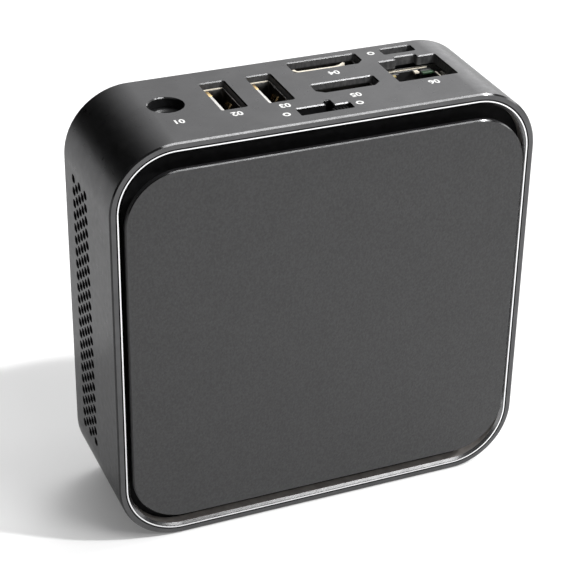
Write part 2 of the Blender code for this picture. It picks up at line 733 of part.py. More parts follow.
def build_power_inlet():
    """Round inlet for a plug, with its centre pin."""
    width, length = INLET_BODY
    half = width / 2
    depth = 2 * INLET_DEPTH - BOARD_SEAT
    block = box((INLET_ACROSS - half, INLET_ACROSS + half), (BOARD_SEAT, depth - GAP),
                (MOUTH - length, MOUTH))
    body = add("power_inlet", solid(block), black_plastic())
    centre = (INLET_ACROSS, INLET_DEPTH)
    combine(body, "DIFFERENCE", solid(prism(circle(INLET_BORE, centre), MOUTH - INLET_BORE_DEPTH,
                                            MOUTH + WALL, "Z")))
    profile = [(INLET_PIN, MOUTH - INLET_BORE_DEPTH + GAP), (INLET_PIN, MOUTH - 2 * GAP),
               (INLET_PIN - GAP, MOUTH - GAP)]
    add("power_inlet_pin", solid(turned(profile, "Z", centre, SMALL_STEPS)), steel())


def build_data_sockets():
    """Two upright sockets with a flat tongue."""
    for number, across in enumerate(DATA_ACROSS, 1):
        centre = (across, DATA_DEPTH)
        name = f"data_socket_{number}"
        outline = rounded(*DATA_SHELL, SOCKET_CORNER, centre, FINE_STEPS)
        bore = rounded(*DATA_MOUTH, SOCKET_CORNER / 2, centre, FINE_STEPS)
        floor = socket_cup(name + "_shell", outline, bore, DATA_LENGTH, steel())
        left = across - DATA_MOUTH[0] / 2 + GAP
        add(name + "_tongue", solid(box((left, left + DATA_TONGUE[0]),
                                        (centre[1] - DATA_TONGUE[1] / 2, centre[1] + DATA_TONGUE[1] / 2),
                                        (floor + GAP, MOUTH - 2 * GAP))), black_plastic())


def build_video_sockets():
    """Two long sockets stacked on a carrier that stands on the board."""
    for name, outline, size, centre in (
            ("video_socket_wide", wide_outline, WIDE_SHELL, (WIDE_ACROSS, WIDE_DEPTH)),
            ("video_socket_slim", slim_outline, SLIM_SHELL, (SLIM_ACROSS, SLIM_DEPTH))):
        bore = outline((size[0] - 2 * VIDEO_WALL, size[1] - 2 * VIDEO_WALL))
        floor = socket_cup(name + "_shell", outline(size), bore, VIDEO_LENGTH, steel())
        tongue = prism(centred(VIDEO_TONGUE, centre), floor + GAP, MOUTH - 2 * GAP, "Z")
        add(name + "_tongue", solid(tongue), black_plastic())
    high = MOUTH - VIDEO_LENGTH - GAP
    half = WIDE_SHELL[0] / 2 + CARRIER_MARGIN
    back = WIDE_DEPTH + WIDE_SHELL[1] / 2
    add("video_socket_carrier", solid(box((WIDE_ACROSS - half, WIDE_ACROSS + half), (BOARD_SEAT, back),
                                          (high - CARRIER_LENGTH, high))), black_plastic())


def build_network_socket():
    """Square socket: a metal can, the moulded insert with the plug's space, and its row of contacts."""
    width = NET_CUT[0] + 2 * GAP
    depth = 2 * (NET_DEPTH - BOARD_SEAT)
    centre = (NET_ACROSS, NET_DEPTH)
    inner = (width - 2 * NET_WALL, depth - 2 * NET_WALL)
    floor = socket_cup("network_socket_can", centred((width, depth), centre), centred(inner, centre),
                       NET_LENGTH, steel())
    block = (inner[0] - 2 * GAP, inner[1] - 2 * GAP)
    body = prism(centred(block, centre), floor + GAP, MOUTH - GAP, "Z")
    insert = add("network_socket_insert", solid(body), black_plastic())
    key = (NET_KEYWAY[0], (block[1] - NET_CAVITY[1]) / 2 - 2 * GAP)
    cavity_floor = MOUTH - NET_CAVITY_LENGTH
    combine(insert, "DIFFERENCE", solid(prism(network_outline(NET_CAVITY, key), cavity_floor,
                                              MOUTH + WALL, "Z")))
    low, high = cavity_floor + GAP, MOUTH - CONTACT_DROP
    bar = low + 2 * CONTACT_WIDTH
    comb = []
    for finger in range(CONTACTS):
        left = NET_ACROSS + (finger - (CONTACTS - 1) / 2) * CONTACT_PITCH - CONTACT_WIDTH / 2
        right = left + CONTACT_WIDTH
        comb += [(left, bar), (left, high), (right, high), (right, bar)]
    comb += [(comb[-1][0], low), (comb[0][0], low)]
    front = NET_DEPTH - NET_CAVITY[1] / 2 + GAP
    add("network_contacts", solid(prism(comb, front, front + CONTACT_THICK, "Y")), gold())


def build_power_button():
    """Sprung button, the switch it pushes, and the light beside it."""
    centre = (BUTTON_ACROSS, BUTTON_DEPTH)
    flange = WALL + GAP
    shoulder = flange + 2 * GAP + BUTTON_TRAVEL
    profile = [(BUTTON_RADIUS - GAP, BUTTON_SET), (BUTTON_RADIUS, BUTTON_SET + GAP),
               (BUTTON_RADIUS, flange), (BUTTON_FLANGE, flange), (BUTTON_FLANGE, shoulder),
               (BUTTON_STEM, shoulder), (BUTTON_STEM, BUTTON_STEM_END)]
    add("power_button", solid(turned(profile, "Z")), dark_plate(), (*centre, 0.0))
    tip = BUTTON_STEM_END + GAP
    face = tip + PLUNGER_SHOW
    seat = face + PLUNGER_SEAT
    add("power_switch_plunger", solid(turned([(PLUNGER_RADIUS, tip), (PLUNGER_RADIUS, seat)], "Z",
                                             steps=SMALL_STEPS)), rubber(), (*centre, 0.0))
    half = SWITCH_SIZE[0] / 2
    base = add("power_switch_base", solid(box((BUTTON_ACROSS - half, BUTTON_ACROSS + half),
                                              (BOARD_SEAT, 2 * BUTTON_DEPTH - BOARD_SEAT),
                                              (face, face + SWITCH_SIZE[1]))), black_plastic())
    bore = prism(circle(PLUNGER_RADIUS + GAP, centre, SMALL_STEPS), face - WALL,
                 seat + BUTTON_TRAVEL + GAP, "Z")
    combine(base, "DIFFERENCE", solid(bore))
    stem = turned([(LIGHT_RADIUS, GAP), (LIGHT_RADIUS, LIGHT_LENGTH)], "Z", (LIGHT_ACROSS, BUTTON_DEPTH),
                  SMALL_STEPS)
    pipe = add("status_light_pipe", solid(stem), clear_plastic())
    half = LIGHT_FOOT / 2
    foot = box((LIGHT_ACROSS - half, LIGHT_ACROSS + half), (BOARD_SEAT, BUTTON_DEPTH + half),
               (LIGHT_LENGTH - half, LIGHT_LENGTH + half))
    combine(pipe, "UNION", solid(foot))


def pipe_path(up):
    """Middle line of a heat pipe: along the spreader, round a bend, then along the fins."""
    start = CHIP_CENTRE[0] + SPREADER_SIZE[0] / 2 - PIPE_THICK
    fins = FIN_SIDE + FIN_REACH / 2
    level = HEIGHT / 2 + up * PIPE_SPACING / 2
    bend = (fins + PIPE_BEND, level + up * PIPE_BEND)
    points = [(start, level)]
    for step in range(CORNER_STEPS + 1):
        angle = step / CORNER_STEPS * math.pi / 2
        points.append((bend[0] - PIPE_BEND * math.sin(angle), bend[1] - up * PIPE_BEND * math.cos(angle)))
    points.append((fins, HEIGHT / 2 + up * (FIN_COUNT - 1) / 2 * FIN_PITCH))
    return points


def flat_tube(path, depth, width, thick):
    """Flattened tube along a path at one depth."""
    loops = []
    for k, point in enumerate(path):
        before, after = path[max(k - 1, 0)], path[min(k + 1, len(path) - 1)]
        run = math.dist(before, after)
        side = ((after[1] - before[1]) / run, (before[0] - after[0]) / run)
        loops.append([(point[0] + u * side[0], depth + v, point[1] + u * side[1])
                      for u, v in rounded(width, thick, thick / 2 - OUTER_EDGE / 2, steps=FINE_STEPS)])
    return loops, False


def build_cooler():
    """Processor, copper spreader, two flattened heat pipes and the fins behind the left slots."""
    package = centred((CHIP_SIZE, CHIP_SIZE), CHIP_CENTRE)
    die = centred(DIE_SIZE, CHIP_CENTRE)
    top = BOARD_SEAT + CHIP_THICK
    chip = loft([(package, BOARD_SEAT), (package, top), (die, top), (die, top + DIE_THICK)], "Y")
    add("processor", solid(chip), board_green())
    outline = rounded(*SPREADER_SIZE, PIPE_THICK, CHIP_CENTRE, FINE_STEPS)
    spreader = prism(outline, SPREADER_BACK - SPREADER_THICK, SPREADER_BACK, "Y")
    add("heat_spreader", solid(spreader), copper())
    for number, up in enumerate((1, -1), 1):
        pipe = flat_tube(pipe_path(up), PIPE_DEPTH, PIPE_WIDTH, PIPE_THICK)
        add(f"heat_pipe_{number}", solid(pipe), copper())
    base = BLOWER_FRONT + FIN_BASE
    low = HEIGHT / 2 - (FIN_COUNT - 1) / 2 * FIN_PITCH - FIN_THICK / 2
    comb = []
    for fin in range(FIN_COUNT):
        edge = low + fin * FIN_PITCH
        comb += [(base, edge), (base + FIN_HEIGHT, edge), (base + FIN_HEIGHT, edge + FIN_THICK),
                 (base, edge + FIN_THICK)]
    comb = comb[1:-1] + [(BLOWER_FRONT, comb[-1][1]), (BLOWER_FRONT, low)]
    add("fin_stack", solid(prism(comb, FIN_SIDE, FIN_SIDE + FIN_REACH, "X")), aluminium())


def scroll_outline():
    """Space inside the blower: a growing spiral that runs out through the left side."""
    first, last = SCROLL_ANGLES
    points = []
    for step in range(ROUND_STEPS + 1):
        share = step / ROUND_STEPS
        angle = first + share * (last - first)
        radius = SCROLL_START + share * (SCROLL_END - SCROLL_START)
        points.append((ROTOR_CENTRE[0] + radius * math.cos(angle),
                       ROTOR_CENTRE[1] + radius * math.sin(angle)))
    outlet = BLOWER_LEFT - WALL
    return points + [(outlet, points[-1][1]), (outlet, points[0][1])]


def rotor_outline():
    """Hub with thin swept blades, drawn as one line round."""
    points = []
    for blade in range(ROTOR_BLADES):
        start = 2 * math.pi * blade / ROTOR_BLADES
        edges = ([], [])
        for step in range(BLADE_STEPS + 1):
            share = step / BLADE_STEPS
            radius = HUB_RADIUS + (ROTOR_RADIUS - HUB_RADIUS) * share
            angle = start - ROTOR_SWEEP * share ** 2
            for side, edge in zip((-1, 1), edges):
                turn = angle + side * BLADE_THICK / 2 / radius
                edge.append((radius * math.cos(turn), radius * math.sin(turn)))
        points += edges[0] + edges[1][::-1]
    return points


def coil_outline():
    """Ring of coils as a wavy outline."""
    count = COIL_LOBES * COIL_LOBE_STEPS
    points = []
    for k in range(count):
        angle = 2 * math.pi * k / count
        radius = COIL_RADIUS - COIL_LOBE_DEPTH / 2 * (1 - math.cos(COIL_LOBES * angle))
        points.append((radius * math.cos(angle), radius * math.sin(angle)))
    return points


def build_blower():
    """Radial fan: housing on four legs, cover with the intake, rotor on its shaft, bearing and coils."""
    outline = rounded(BLOWER_SIZE, BLOWER_SIZE, BLOWER_CORNER, ROTOR_CENTRE, FINE_STEPS)
    rim = BLOWER_FRONT + BLOWER_HEIGHT
    housing = add("blower_housing", solid(prism(outline, BLOWER_FRONT, rim, "Y")), black_plastic())
    scroll = prism(scroll_outline(), BLOWER_FRONT + BLOWER_BASE, rim + WALL, "Y")
    combine(housing, "DIFFERENCE", solid(scroll))
    reach = BLOWER_SIZE / 2 - BLOWER_LEG_INSET
    places = [(ROTOR_CENTRE[0] + u * reach, ROTOR_CENTRE[1] + v * reach) for u in (-1, 1) for v in (-1, 1)]
    legs = [prism(circle(BLOWER_LEG, place, SMALL_STEPS), BOARD_SEAT, BLOWER_FRONT + BLOWER_BASE / 2, "Y")
            for place in places]
    combine(housing, "UNION", solid(*legs))
    cover = add("blower_cover", solid(prism(outline, rim + GAP, rim + GAP + BLOWER_COVER, "Y")), steel())
    intake = prism(circle(INTAKE_RADIUS, ROTOR_CENTRE), rim - WALL, rim + 2 * WALL, "Y")
    combine(cover, "DIFFERENCE", solid(intake))

    place = (ROTOR_CENTRE[0], ROTOR_FRONT, ROTOR_CENTRE[1])
    ceiling = ROTOR_HEIGHT - HUB_WALL
    rotor = add("fan_rotor", solid(prism(rotor_outline(), 0.0, ROTOR_HEIGHT, "Y")), black_plastic(), place)
    combine(rotor, "DIFFERENCE", solid(prism(circle(HUB_RADIUS - HUB_WALL), -WALL, ceiling, "Y")))
    shaft = turned([(SHAFT_RADIUS, 0.0), (SHAFT_RADIUS, ceiling - GAP)], "Y", steps=SMALL_STEPS)
    add("fan_shaft", solid(shaft), steel(), place)
    foot = BLOWER_FRONT + BLOWER_BASE + GAP
    bore = SHAFT_RADIUS + GAP
    top = ROTOR_FRONT + ceiling - 2 * GAP
    sleeve = [(BEARING_RADIUS, foot), (BEARING_RADIUS, top), (bore, top), (bore, foot)]
    add("fan_bearing", solid(turned(sleeve, "Y", ROTOR_CENTRE, SMALL_STEPS, ring=True)), steel())
    lobes = [(ROTOR_CENTRE[0] + u, ROTOR_CENTRE[1] + v) for u, v in coil_outline()]
    eye = circle(BEARING_RADIUS + GAP, ROTOR_CENTRE, len(lobes))
    add("motor_coil", solid(loft([(lobes, foot), (lobes, foot + COIL_HEIGHT), (eye, foot + COIL_HEIGHT),
                                  (eye, foot)], "Y", ring=True)), copper())


def card_socket(name, across, foot, size, thick, seat, away):
    """Edge socket with a slot for a card's thickness; away is the direction off the board."""
    half, length, rise = size[0] / 2, size[1], size[2]
    slot_low, slot_high = seat + away * (CARD_RISE - GAP), seat + away * (CARD_RISE + thick + GAP)
    mouth = foot + length - CARD_BITE
    outline = [(seat, foot), (seat, foot + length), (slot_low, foot + length), (slot_low, mouth),
               (slot_high, mouth), (slot_high, foot + length), (seat + away * rise, foot + length),
               (seat + away * rise, foot)]
    add(name, solid(prism(outline, across - half, across + half, "X")), black_plastic())
    return mouth + GAP


def card(name, across, low, size, seat, away, packages):
    """Plug-in card with its chip packages; packages is how many stand along it."""
    half = size[0] / 2
    near = seat + away * CARD_RISE
    far = near + away * size[2]
    plate = box((across - half, across + half), sorted((near, far)), (low, low + size[1]))
    module = add(name, solid(plate), board_green())
    along_height = size[1] > size[0]
    run, rise = (size[1], size[0]) if along_height else (size[0], size[1])
    free = run - 2 * CARD_BITE
    bodies = []
    for k in range(packages):
        middle = CARD_BITE + free * (k + 0.5) / packages
        span = free / packages * PACKAGE_SHARE / 2
        reach = (rise - 2 * CARD_BITE) * PACKAGE_SHARE / 2
        u, v = (0.0, low + middle) if along_height else (middle - run / 2, low + rise / 2)
        du, dv = (reach, span) if along_height else (span, reach)
        depths = sorted((far - away * size[2] / 2, far + away * PACKAGE_THICK))
        bodies.append(box((across + u - du, across + u + du), depths, (v - dv, v + dv)))
    combine(module, "UNION", solid(*bodies))
    return module, near, far


def build_cards():
    """Memory and storage in front of the board, the wireless card behind it."""
    front = BOARD_FRONT - GAP
    low = card_socket("memory_socket", MEMORY_ACROSS, MEMORY_FOOT, MEMORY_SOCKET, MEMORY_MODULE[2],
                      front, -1)
    card("memory_module", MEMORY_ACROSS, low, MEMORY_MODULE, front, -1, MEMORY_PACKAGES)
    low = card_socket("storage_socket", STORAGE_ACROSS, STORAGE_FOOT, STORAGE_SOCKET, STORAGE_MODULE[2],
                      front, -1)
    module, near, far = card("storage_module", STORAGE_ACROSS, low, STORAGE_MODULE, front, -1,
                             STORAGE_PACKAGES)
    end = (STORAGE_ACROSS, low + STORAGE_MODULE[1])
    hole = prism(circle(SCREW_RADIUS + GAP, end, SMALL_STEPS), far - WALL, near + WALL, "Y")
    combine(module, "DIFFERENCE", solid(hole))
    profile = [(SCREW_HEAD_RADIUS, far - GAP - SCREW_HEAD), (SCREW_HEAD_RADIUS, far - GAP),
               (SCREW_RADIUS, far - GAP), (SCREW_RADIUS, near + GAP), (SCREW_HEAD_RADIUS, near + GAP),
               (SCREW_HEAD_RADIUS, front)]
    add("storage_screw", solid(turned(profile, "Y", end, SMALL_STEPS)), steel())
    low = card_socket("wireless_socket", WIRELESS_ACROSS, WIRELESS_FOOT, WIRELESS_SOCKET, WIRELESS_MODULE[2],
                      BOARD_SEAT, 1)
    card("wireless_card", WIRELESS_ACROSS, low, WIRELESS_MODULE, BOARD_SEAT, 1, WIRELESS_PACKAGES)
    return low + WIRELESS_MODULE[1] / 2


def build_cell():
    """Coin cell in its round holder."""
    floor = BOARD_SEAT + HOLDER_WALL
    outer, inner = CELL_RADIUS + GAP + HOLDER_WALL, CELL_RADIUS + GAP
    rim = floor + CELL_THICK - 2 * GAP
    cup = turned([(outer, BOARD_SEAT), (outer, rim), (inner, rim), (inner, floor)], "Y", CELL_CENTRE)
    add("coin_cell_holder", solid(cup), black_plastic())
    low = floor + GAP
    add("coin_cell", solid(turned([(CELL_RADIUS, low), (CELL_RADIUS, low + CELL_THICK - GAP),
                                   (CELL_RADIUS - GAP, low + CELL_THICK)], "Y", CELL_CENTRE)), steel())


def lead(name, points, radius, material):
    """Thin cable as a smooth curve through its own points."""
    curve = bpy.data.curves.new(name, "CURVE")
    curve.dimensions = "3D"
    curve.bevel_depth = radius
    curve.bevel_resolution = LEAD_ROUNDNESS
    curve.use_fill_caps = True
    spline = curve.splines.new("POLY")
    smooth = []
    for k in range(len(points) - 1):
        ends = [points[max(k - 1, 0)], points[k], points[k + 1], points[min(k + 2, len(points) - 1)]]
        for step in range(LEAD_STEPS):
            t = step / LEAD_STEPS
            smooth.append([0.5 * (2 * b + (c - a) * t + (2 * a - 5 * b + 4 * c - d) * t ** 2
                                  + (3 * b - a - 3 * c + d) * t ** 3) for a, b, c, d in zip(*ends)])
    smooth.append(list(points[-1]))
    spline.points.add(len(smooth) - 1)
    for target, point in zip(spline.points, smooth):
        target.co = (*point, 1.0)
    piece = bpy.data.objects.new(name, curve)
    bpy.context.collection.objects.link(piece)
    piece.parent = assembly
    curve.materials.append(material)


def build_leads(card_middle):
    """Fan lead down to the board, and the antenna on the cover with its lead to the wireless card."""
    side = BLOWER_LEFT + BLOWER_SIZE + GAP
    exit_depth = BLOWER_FRONT + BLOWER_BASE + LEAD_REACH
    exit_height = (HEIGHT - BLOWER_SIZE) / 2 + LEAD_REACH
    foot_height = exit_height - LEAD_RADIUS
    foot = side + LEAD_REACH - LEAD_RADIUS
    lead("fan_lead", [(side, exit_depth, exit_height),
                      (foot - LEAD_RADIUS, exit_depth - LEAD_RADIUS, exit_height),
                      (foot, (exit_depth + BOARD_SEAT) / 2, foot_height),
                      (foot, BOARD_SEAT, foot_height)], LEAD_RADIUS, rubber())
    back = COVER_FRONT - GAP
    centre = (WIRELESS_ACROSS, ANTENNA_HEIGHT)
    outline = rounded(*ANTENNA_SIZE, ANTENNA_CORNER, centre, FINE_STEPS)
    add("antenna", solid(prism(outline, back - ANTENNA_THICK, back, "Y")), copper())
    start = back - ANTENNA_THICK - GAP
    end = BOARD_SEAT + CARD_RISE + WIRELESS_MODULE[2] + PACKAGE_THICK + GAP
    third = (start - end) / 3
    lead("antenna_lead", [(WIRELESS_ACROSS, start, ANTENNA_HEIGHT),
                          (WIRELESS_ACROSS, start - third, ANTENNA_HEIGHT + FINE_LEAD_RADIUS),
                          (WIRELESS_ACROSS, end + third, card_middle - FINE_LEAD_RADIUS),
                          (WIRELESS_ACROSS, end, card_middle)], FINE_LEAD_RADIUS, rubber())


def main():
    start_scene()
    build_shell()
    build_lid()
    build_latch()
    build_bottom_cover()
    build_board()
    build_power_inlet()
    build_data_sockets()
    build_video_sockets()
    build_network_socket()
    build_power_button()
    build_cooler()
    build_blower()
    card_middle = build_cards()
    build_cell()
    build_leads(card_middle)


main()
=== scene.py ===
"""Looks of a small square desktop computer that stands on one of its edges.

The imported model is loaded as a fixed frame. Each operator models one piece, or a group of like pieces,
with its finish, and the last one sets up the floor, the lights and the camera. The tables of sizes are
in millimetres, and a depth is measured backwards from the rim of the frame.
"""
import functools
import math
from typing import NamedTuple

import bmesh
import bpy
from bpy.props import FloatProperty, FloatVectorProperty, IntProperty, PointerProperty
from bpy.types import Operator, Panel, PropertyGroup
from mathutils import Matrix, Vector


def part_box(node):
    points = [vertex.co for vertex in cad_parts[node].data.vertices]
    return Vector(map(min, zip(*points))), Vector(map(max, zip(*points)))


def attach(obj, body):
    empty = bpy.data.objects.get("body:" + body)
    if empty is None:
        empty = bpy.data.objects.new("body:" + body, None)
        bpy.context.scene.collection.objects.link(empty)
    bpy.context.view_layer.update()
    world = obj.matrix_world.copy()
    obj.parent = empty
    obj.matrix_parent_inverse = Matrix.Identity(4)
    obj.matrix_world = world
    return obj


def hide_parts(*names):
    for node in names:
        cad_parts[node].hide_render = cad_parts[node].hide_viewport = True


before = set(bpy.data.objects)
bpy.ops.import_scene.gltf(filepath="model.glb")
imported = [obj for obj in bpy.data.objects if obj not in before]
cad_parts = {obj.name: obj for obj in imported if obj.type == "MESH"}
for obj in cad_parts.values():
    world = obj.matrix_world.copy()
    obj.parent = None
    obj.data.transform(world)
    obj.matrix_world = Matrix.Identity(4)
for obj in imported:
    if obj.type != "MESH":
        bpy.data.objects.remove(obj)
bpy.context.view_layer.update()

bl_info = {
    "name": "Square desktop computer",
    "version": (1, 0, 0),
    "blender": (4, 5, 0),
    "location": "3D View > Sidebar > Computer",
    "description": "Models the finished pieces of a small square computer round its packed frame",
    "category": "Object",
}

MM = 0.001
SHELL_LOW, SHELL_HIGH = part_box("main_shell")
RIM = SHELL_LOW.y
WIDTH = SHELL_HIGH.x - SHELL_LOW.x
HEIGHT = SHELL_HIGH.z - SHELL_LOW.z
# Steps in a large corner, round a circle, round a small circle and in a small corner
CORNER_STEPS = 24
ROUND_STEPS = 40
SMALL_ROUND_STEPS = 24
ARC_STEPS = 4
SMOOTH_BELOW = math.radians(40.0)


def mm(*values):
    """Millimetres as metres."""
    return tuple(value * MM for value in values)


def past(start, *steps):
    """Places that lie a number of millimetres past a start."""
    return tuple(start + step * MM for step in steps)


def astride(place, half):
    """Limits a number of millimetres before and after a place."""
    return past(place, -half, half)


def moved(span, steps):
    """Limits that are each moved by a number of millimetres."""
    return tuple(end + step * MM for end, step in zip(span, steps))


def spread(span, count, margin):
    """Even places between limits, with a margin at both ends as a share of their pitch."""
    pitches = count - 1 + 2 * margin
    return [span[0] + (number + margin) * (span[1] - span[0]) / pitches for number in range(count)]


def in_row(count, pitch, centre):
    """Even places along a row, with a pitch in millimetres."""
    return [centre + (number - (count - 1) / 2) * pitch * MM for number in range(count)]


def shifted(points, up, across=0.0):
    """Pairs in millimetres, counted from a place across and a place up."""
    return [(across + u * MM, up + v * MM) for u, v in points]


def middle(node):
    """Centre of a node: across, depth behind the rim, and height."""
    low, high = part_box(node)
    return (low.x + high.x) / 2, (low.y + high.y) / 2 - RIM, (low.z + high.z) / 2


def limits(node):
    """Lowest and highest across, depth behind the rim, and height of a node."""
    low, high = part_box(node)
    return (low.x, high.x), (low.y - RIM, high.y - RIM), (low.z, high.z)


def spots(kind):
    """Places across and up of four like nodes."""
    return [middle(f"{kind}_{number}")[::2] for number in range(1, 5)]


# Settings

def length(name, default, description):
    return FloatProperty(name=name, description=description, default=default, min=0.0, precision=5,
                         unit="LENGTH")


def tint(name, default, description):
    return FloatVectorProperty(name=name, description=description, default=default, size=3,
                               min=0.0, max=1.0, subtype="COLOR")


def angle(name, default, description):
    return FloatProperty(name=name, description=description, default=math.radians(default),
                         subtype="ANGLE", unit="ROTATION")


def level(name, default, description):
    return FloatProperty(name=name, description=description, default=default, min=0.0)


class ShellSettings(PropertyGroup):
    corner_radius: length("Corner radius", 17.0 * MM, "Radius of the four outer corners")
    wall: length("Wall", 2.5 * MM, "Thickness of the frame")
    port_bevel: length("Port bevel", 0.26 * MM, "Bevel round the cut-outs for the sockets")
    vent_bevel: length("Vent bevel", 0.08 * MM, "Bevel round the side slots")
    vent_length: length("Vent length", 2.65 * MM, "Length of a side slot along the depth")
    vent_height: length("Vent height", 2.15 * MM, "Height of a side slot")
    vent_columns: IntProperty(name="Vent columns", description="Columns of side slots", default=5, min=1)
    vent_rows: IntProperty(name="Vent rows", description="Rows of side slots", default=22, min=2)


class LidSettings(PropertyGroup):
    corner_radius: length("Corner radius", 14.0 * MM, "Radius of the plate's corners")
    edge: length("Edge", 0.28 * MM, "Width of the plate's bevelled metal edge")
    overhang: length("Overhang", 3.0 * MM, "Reach of the plate beyond the block under it")


class SocketSettings(PropertyGroup):
    set_back: length("Set back", 1.6 * MM, "Depth of the socket mouths below the wall's outer face")
    sheet: length("Sheet", 0.32 * MM, "Thickness of the sheet metal shells")
    corner: length("Corner", 0.6 * MM, "Corner radius of the small sockets")


class CoverSettings(PropertyGroup):
    slot_width: length("Slot width", 1.8 * MM, "Width of a grille slot")
    slot_height: length("Slot height", 3.6 * MM, "Height of a grille slot")
    columns: IntProperty(name="Columns", description="Columns of grille slots", default=9, min=1)
    rows: IntProperty(name="Rows", description="Rows of grille slots", default=7, min=2)


class ColourSettings(PropertyGroup):
    satin: tint("Satin metal", (0.1, 0.1, 0.102), "Blasted metal of the frame")
    edge: tint("Edge metal", (0.034, 0.034, 0.0345), "Dark cut edges of the frame and the plate")
    polished: tint("Polished metal", (0.86, 0.86, 0.87), "Cut and polished edges")
    groove: tint("Groove", (0.30, 0.277, 0.262), "Inner wall of the groove round the plate")
    plate: tint("Plate", (0.0255, 0.0255, 0.0263), "Textured plate in front")
    moulding: tint("Moulding", (0.013, 0.013, 0.014), "Black moulded plastic")
    steel: tint("Steel", (0.56, 0.55, 0.53), "Plated sheet of the sockets")
    gold: tint("Gold", (0.83, 0.60, 0.30), "Plated contacts")
    copper: tint("Copper", (0.80, 0.42, 0.27), "Copper of the cooler and the coil")
    aluminium: tint("Aluminium", (0.72, 0.73, 0.74), "Fins of the cooler")
    cell: tint("Cell", (0.66, 0.66, 0.65), "Case of the coin cell")
    silicon: tint("Silicon", (0.35, 0.36, 0.38), "Bare face of the processor")
    rubber: tint("Rubber", (0.020, 0.020, 0.021), "Rubber of the feet and lead sleeves")
    board: tint("Board", (0.010, 0.060, 0.034), "Lacquer of the circuit boards")
    # Also the colour of the painted glints and the painted highlight in the square socket
    ivory: tint("Ivory", (0.80, 0.74, 0.62), "Pale bars in the sockets")
    green: tint("Green", (0.035, 0.085, 0.04), "Unlit green lamp of the square socket")
    amber: tint("Amber", (0.42, 0.33, 0.13), "Unlit amber lamp of the square socket")
    lens: tint("Lens", (0.82, 0.84, 0.86), "Clear plastic of the light beside the button")
    print: tint("Print", (0.80, 0.80, 0.79), "Printed numbers beside the sockets")


class StageSettings(PropertyGroup):
    azimuth: angle("Azimuth", -22.904, "Camera's turn round the upright axis")
    elevation: angle("Elevation", 29.968, "Camera's rise above the floor")
    roll: angle("Roll", 0.982, "Camera's turn round its own axis")
    distance: length("Distance", 481.38 * MM, "Camera's distance from the point it looks at")
    lens: level("Lens", 114.66, "Focal length in millimetres on a sensor 36 mm wide")
    floor: tint("Floor", (0.88, 0.88, 0.88), "Floor that the object stands on")
    key: level("Key", 1.6, "Strength of the distant light at the right")
    overhead: level("Overhead", 7.6, "Power of the long soft light above")
    rear: level("Rear", 3.0, "Power of the soft light behind")
    front: level("Front", 3.5, "Power of the low soft light in front")
    side: level("Side", 2.2, "Power of the tall soft light at the right")


class ComputerSettings(PropertyGroup):
    shell: PointerProperty(type=ShellSettings)
    lid: PointerProperty(type=LidSettings)
    sockets: PointerProperty(type=SocketSettings)
    cover: PointerProperty(type=CoverSettings)
    colours: PointerProperty(type=ColourSettings)
    stage: PointerProperty(type=StageSettings)


def settings():
    return bpy.context.scene.computer


# Outlines, as (u, v) pairs that run anticlockwise

def rounded(width, height, radius, centre, steps=CORNER_STEPS):
    """Rectangle with round corners."""
    points = []
    for corner, (side_u, side_v) in enumerate(((1, -1), (1, 1), (-1, 1), (-1, -1))):
        for step in range(steps + 1):
            turn = math.radians(90.0) * (corner - 1 + step / steps)
            points.append((centre[0] + side_u * (width / 2 - radius) + radius * math.cos(turn),
                           centre[1] + side_v * (height / 2 - radius) + radius * math.sin(turn)))
    return points


def circle(radius, centre, steps=ROUND_STEPS):
    return [(centre[0] + radius * math.cos(2 * math.pi * k / steps),
             centre[1] + radius * math.sin(2 * math.pi * k / steps)) for k in range(steps)]


def rectangle(size, centre):
    u, v = size[0] / 2, size[1] / 2
    return [(centre[0] + side_u * u, centre[1] + side_v * v)
            for side_u, side_v in ((-1, -1), (1, -1), (1, 1), (-1, 1))]


def grown(points, amount):
    """Outline moved outwards on every side."""
    outside = []
    for k, point in enumerate(points):
        here = Vector(point)
        before = (here - Vector(points[k - 1])).normalized()
        after = (Vector(points[(k + 1) % len(points)]) - here).normalized()
        first, second = Vector((before.y, -before.x)), Vector((after.y, -after.x))
        outside.append(tuple(here + (first + second) * amount / (1.0 + first.dot(second))))
    return outside


def softened(points, radius):
    """Outline with an arc in place of each corner."""
    soft = []
    for k, point in enumerate(points):
        corner = Vector(point)
        back = (Vector(points[k - 1]) - corner).normalized()
        ahead = (Vector(points[(k + 1) % len(points)]) - corner).normalized()
        half = back.angle(ahead) / 2
        pivot = corner + (back + ahead).normalized() * radius / math.sin(half)
        first = corner + back * radius / math.tan(half) - pivot
        sweep = -first.angle_signed(corner + ahead * radius / math.tan(half) - pivot)
        for step in range(ARC_STEPS + 1):
            soft.append(tuple(pivot + Matrix.Rotation(sweep * step / ARC_STEPS, 2) @ first))
    return soft


def lattice(columns, rows, pitch, centre):
    """Centres of staggered columns, every other one a row shorter and half a pitch up."""
    places = []
    for column in range(columns):
        count = rows - column % 2
        for row in range(count):
            places.append((centre[0] + (column - (columns - 1) / 2) * pitch[0],
                           centre[1] + (row - (count - 1) / 2) * pitch[1]))
    return places


# Shapes of cut-outs, each as a function of how far it is grown

# Corner radius of a slot, as a share of its smaller side
ROUND_END = 0.49


def cut_shape(points, radius):
    """Polygon with soft corners."""
    return lambda amount: softened(grown(points, amount), radius)


def round_shape(radius, centre):
    return lambda amount: circle(radius + amount, centre)


def slot_shape(width, height, centre):
    """Slot with round ends."""
    def outline(amount):
        size = (width + 2 * amount, height + 2 * amount)
        return rounded(*size, ROUND_END * min(size), centre, ARC_STEPS)
    return outline


# Mesh building

def at(across, depth, height):
    """Point given by its depth behind the rim."""
    return Vector((across, RIM + depth, height))


def placed(axis, point, along):
    """Point of an outline that lies across an axis, at a place along that axis."""
    if axis == "X":
        return at(along, *point)
    if axis == "Y":
        return at(point[0], along, point[1])
    return at(*point, along)


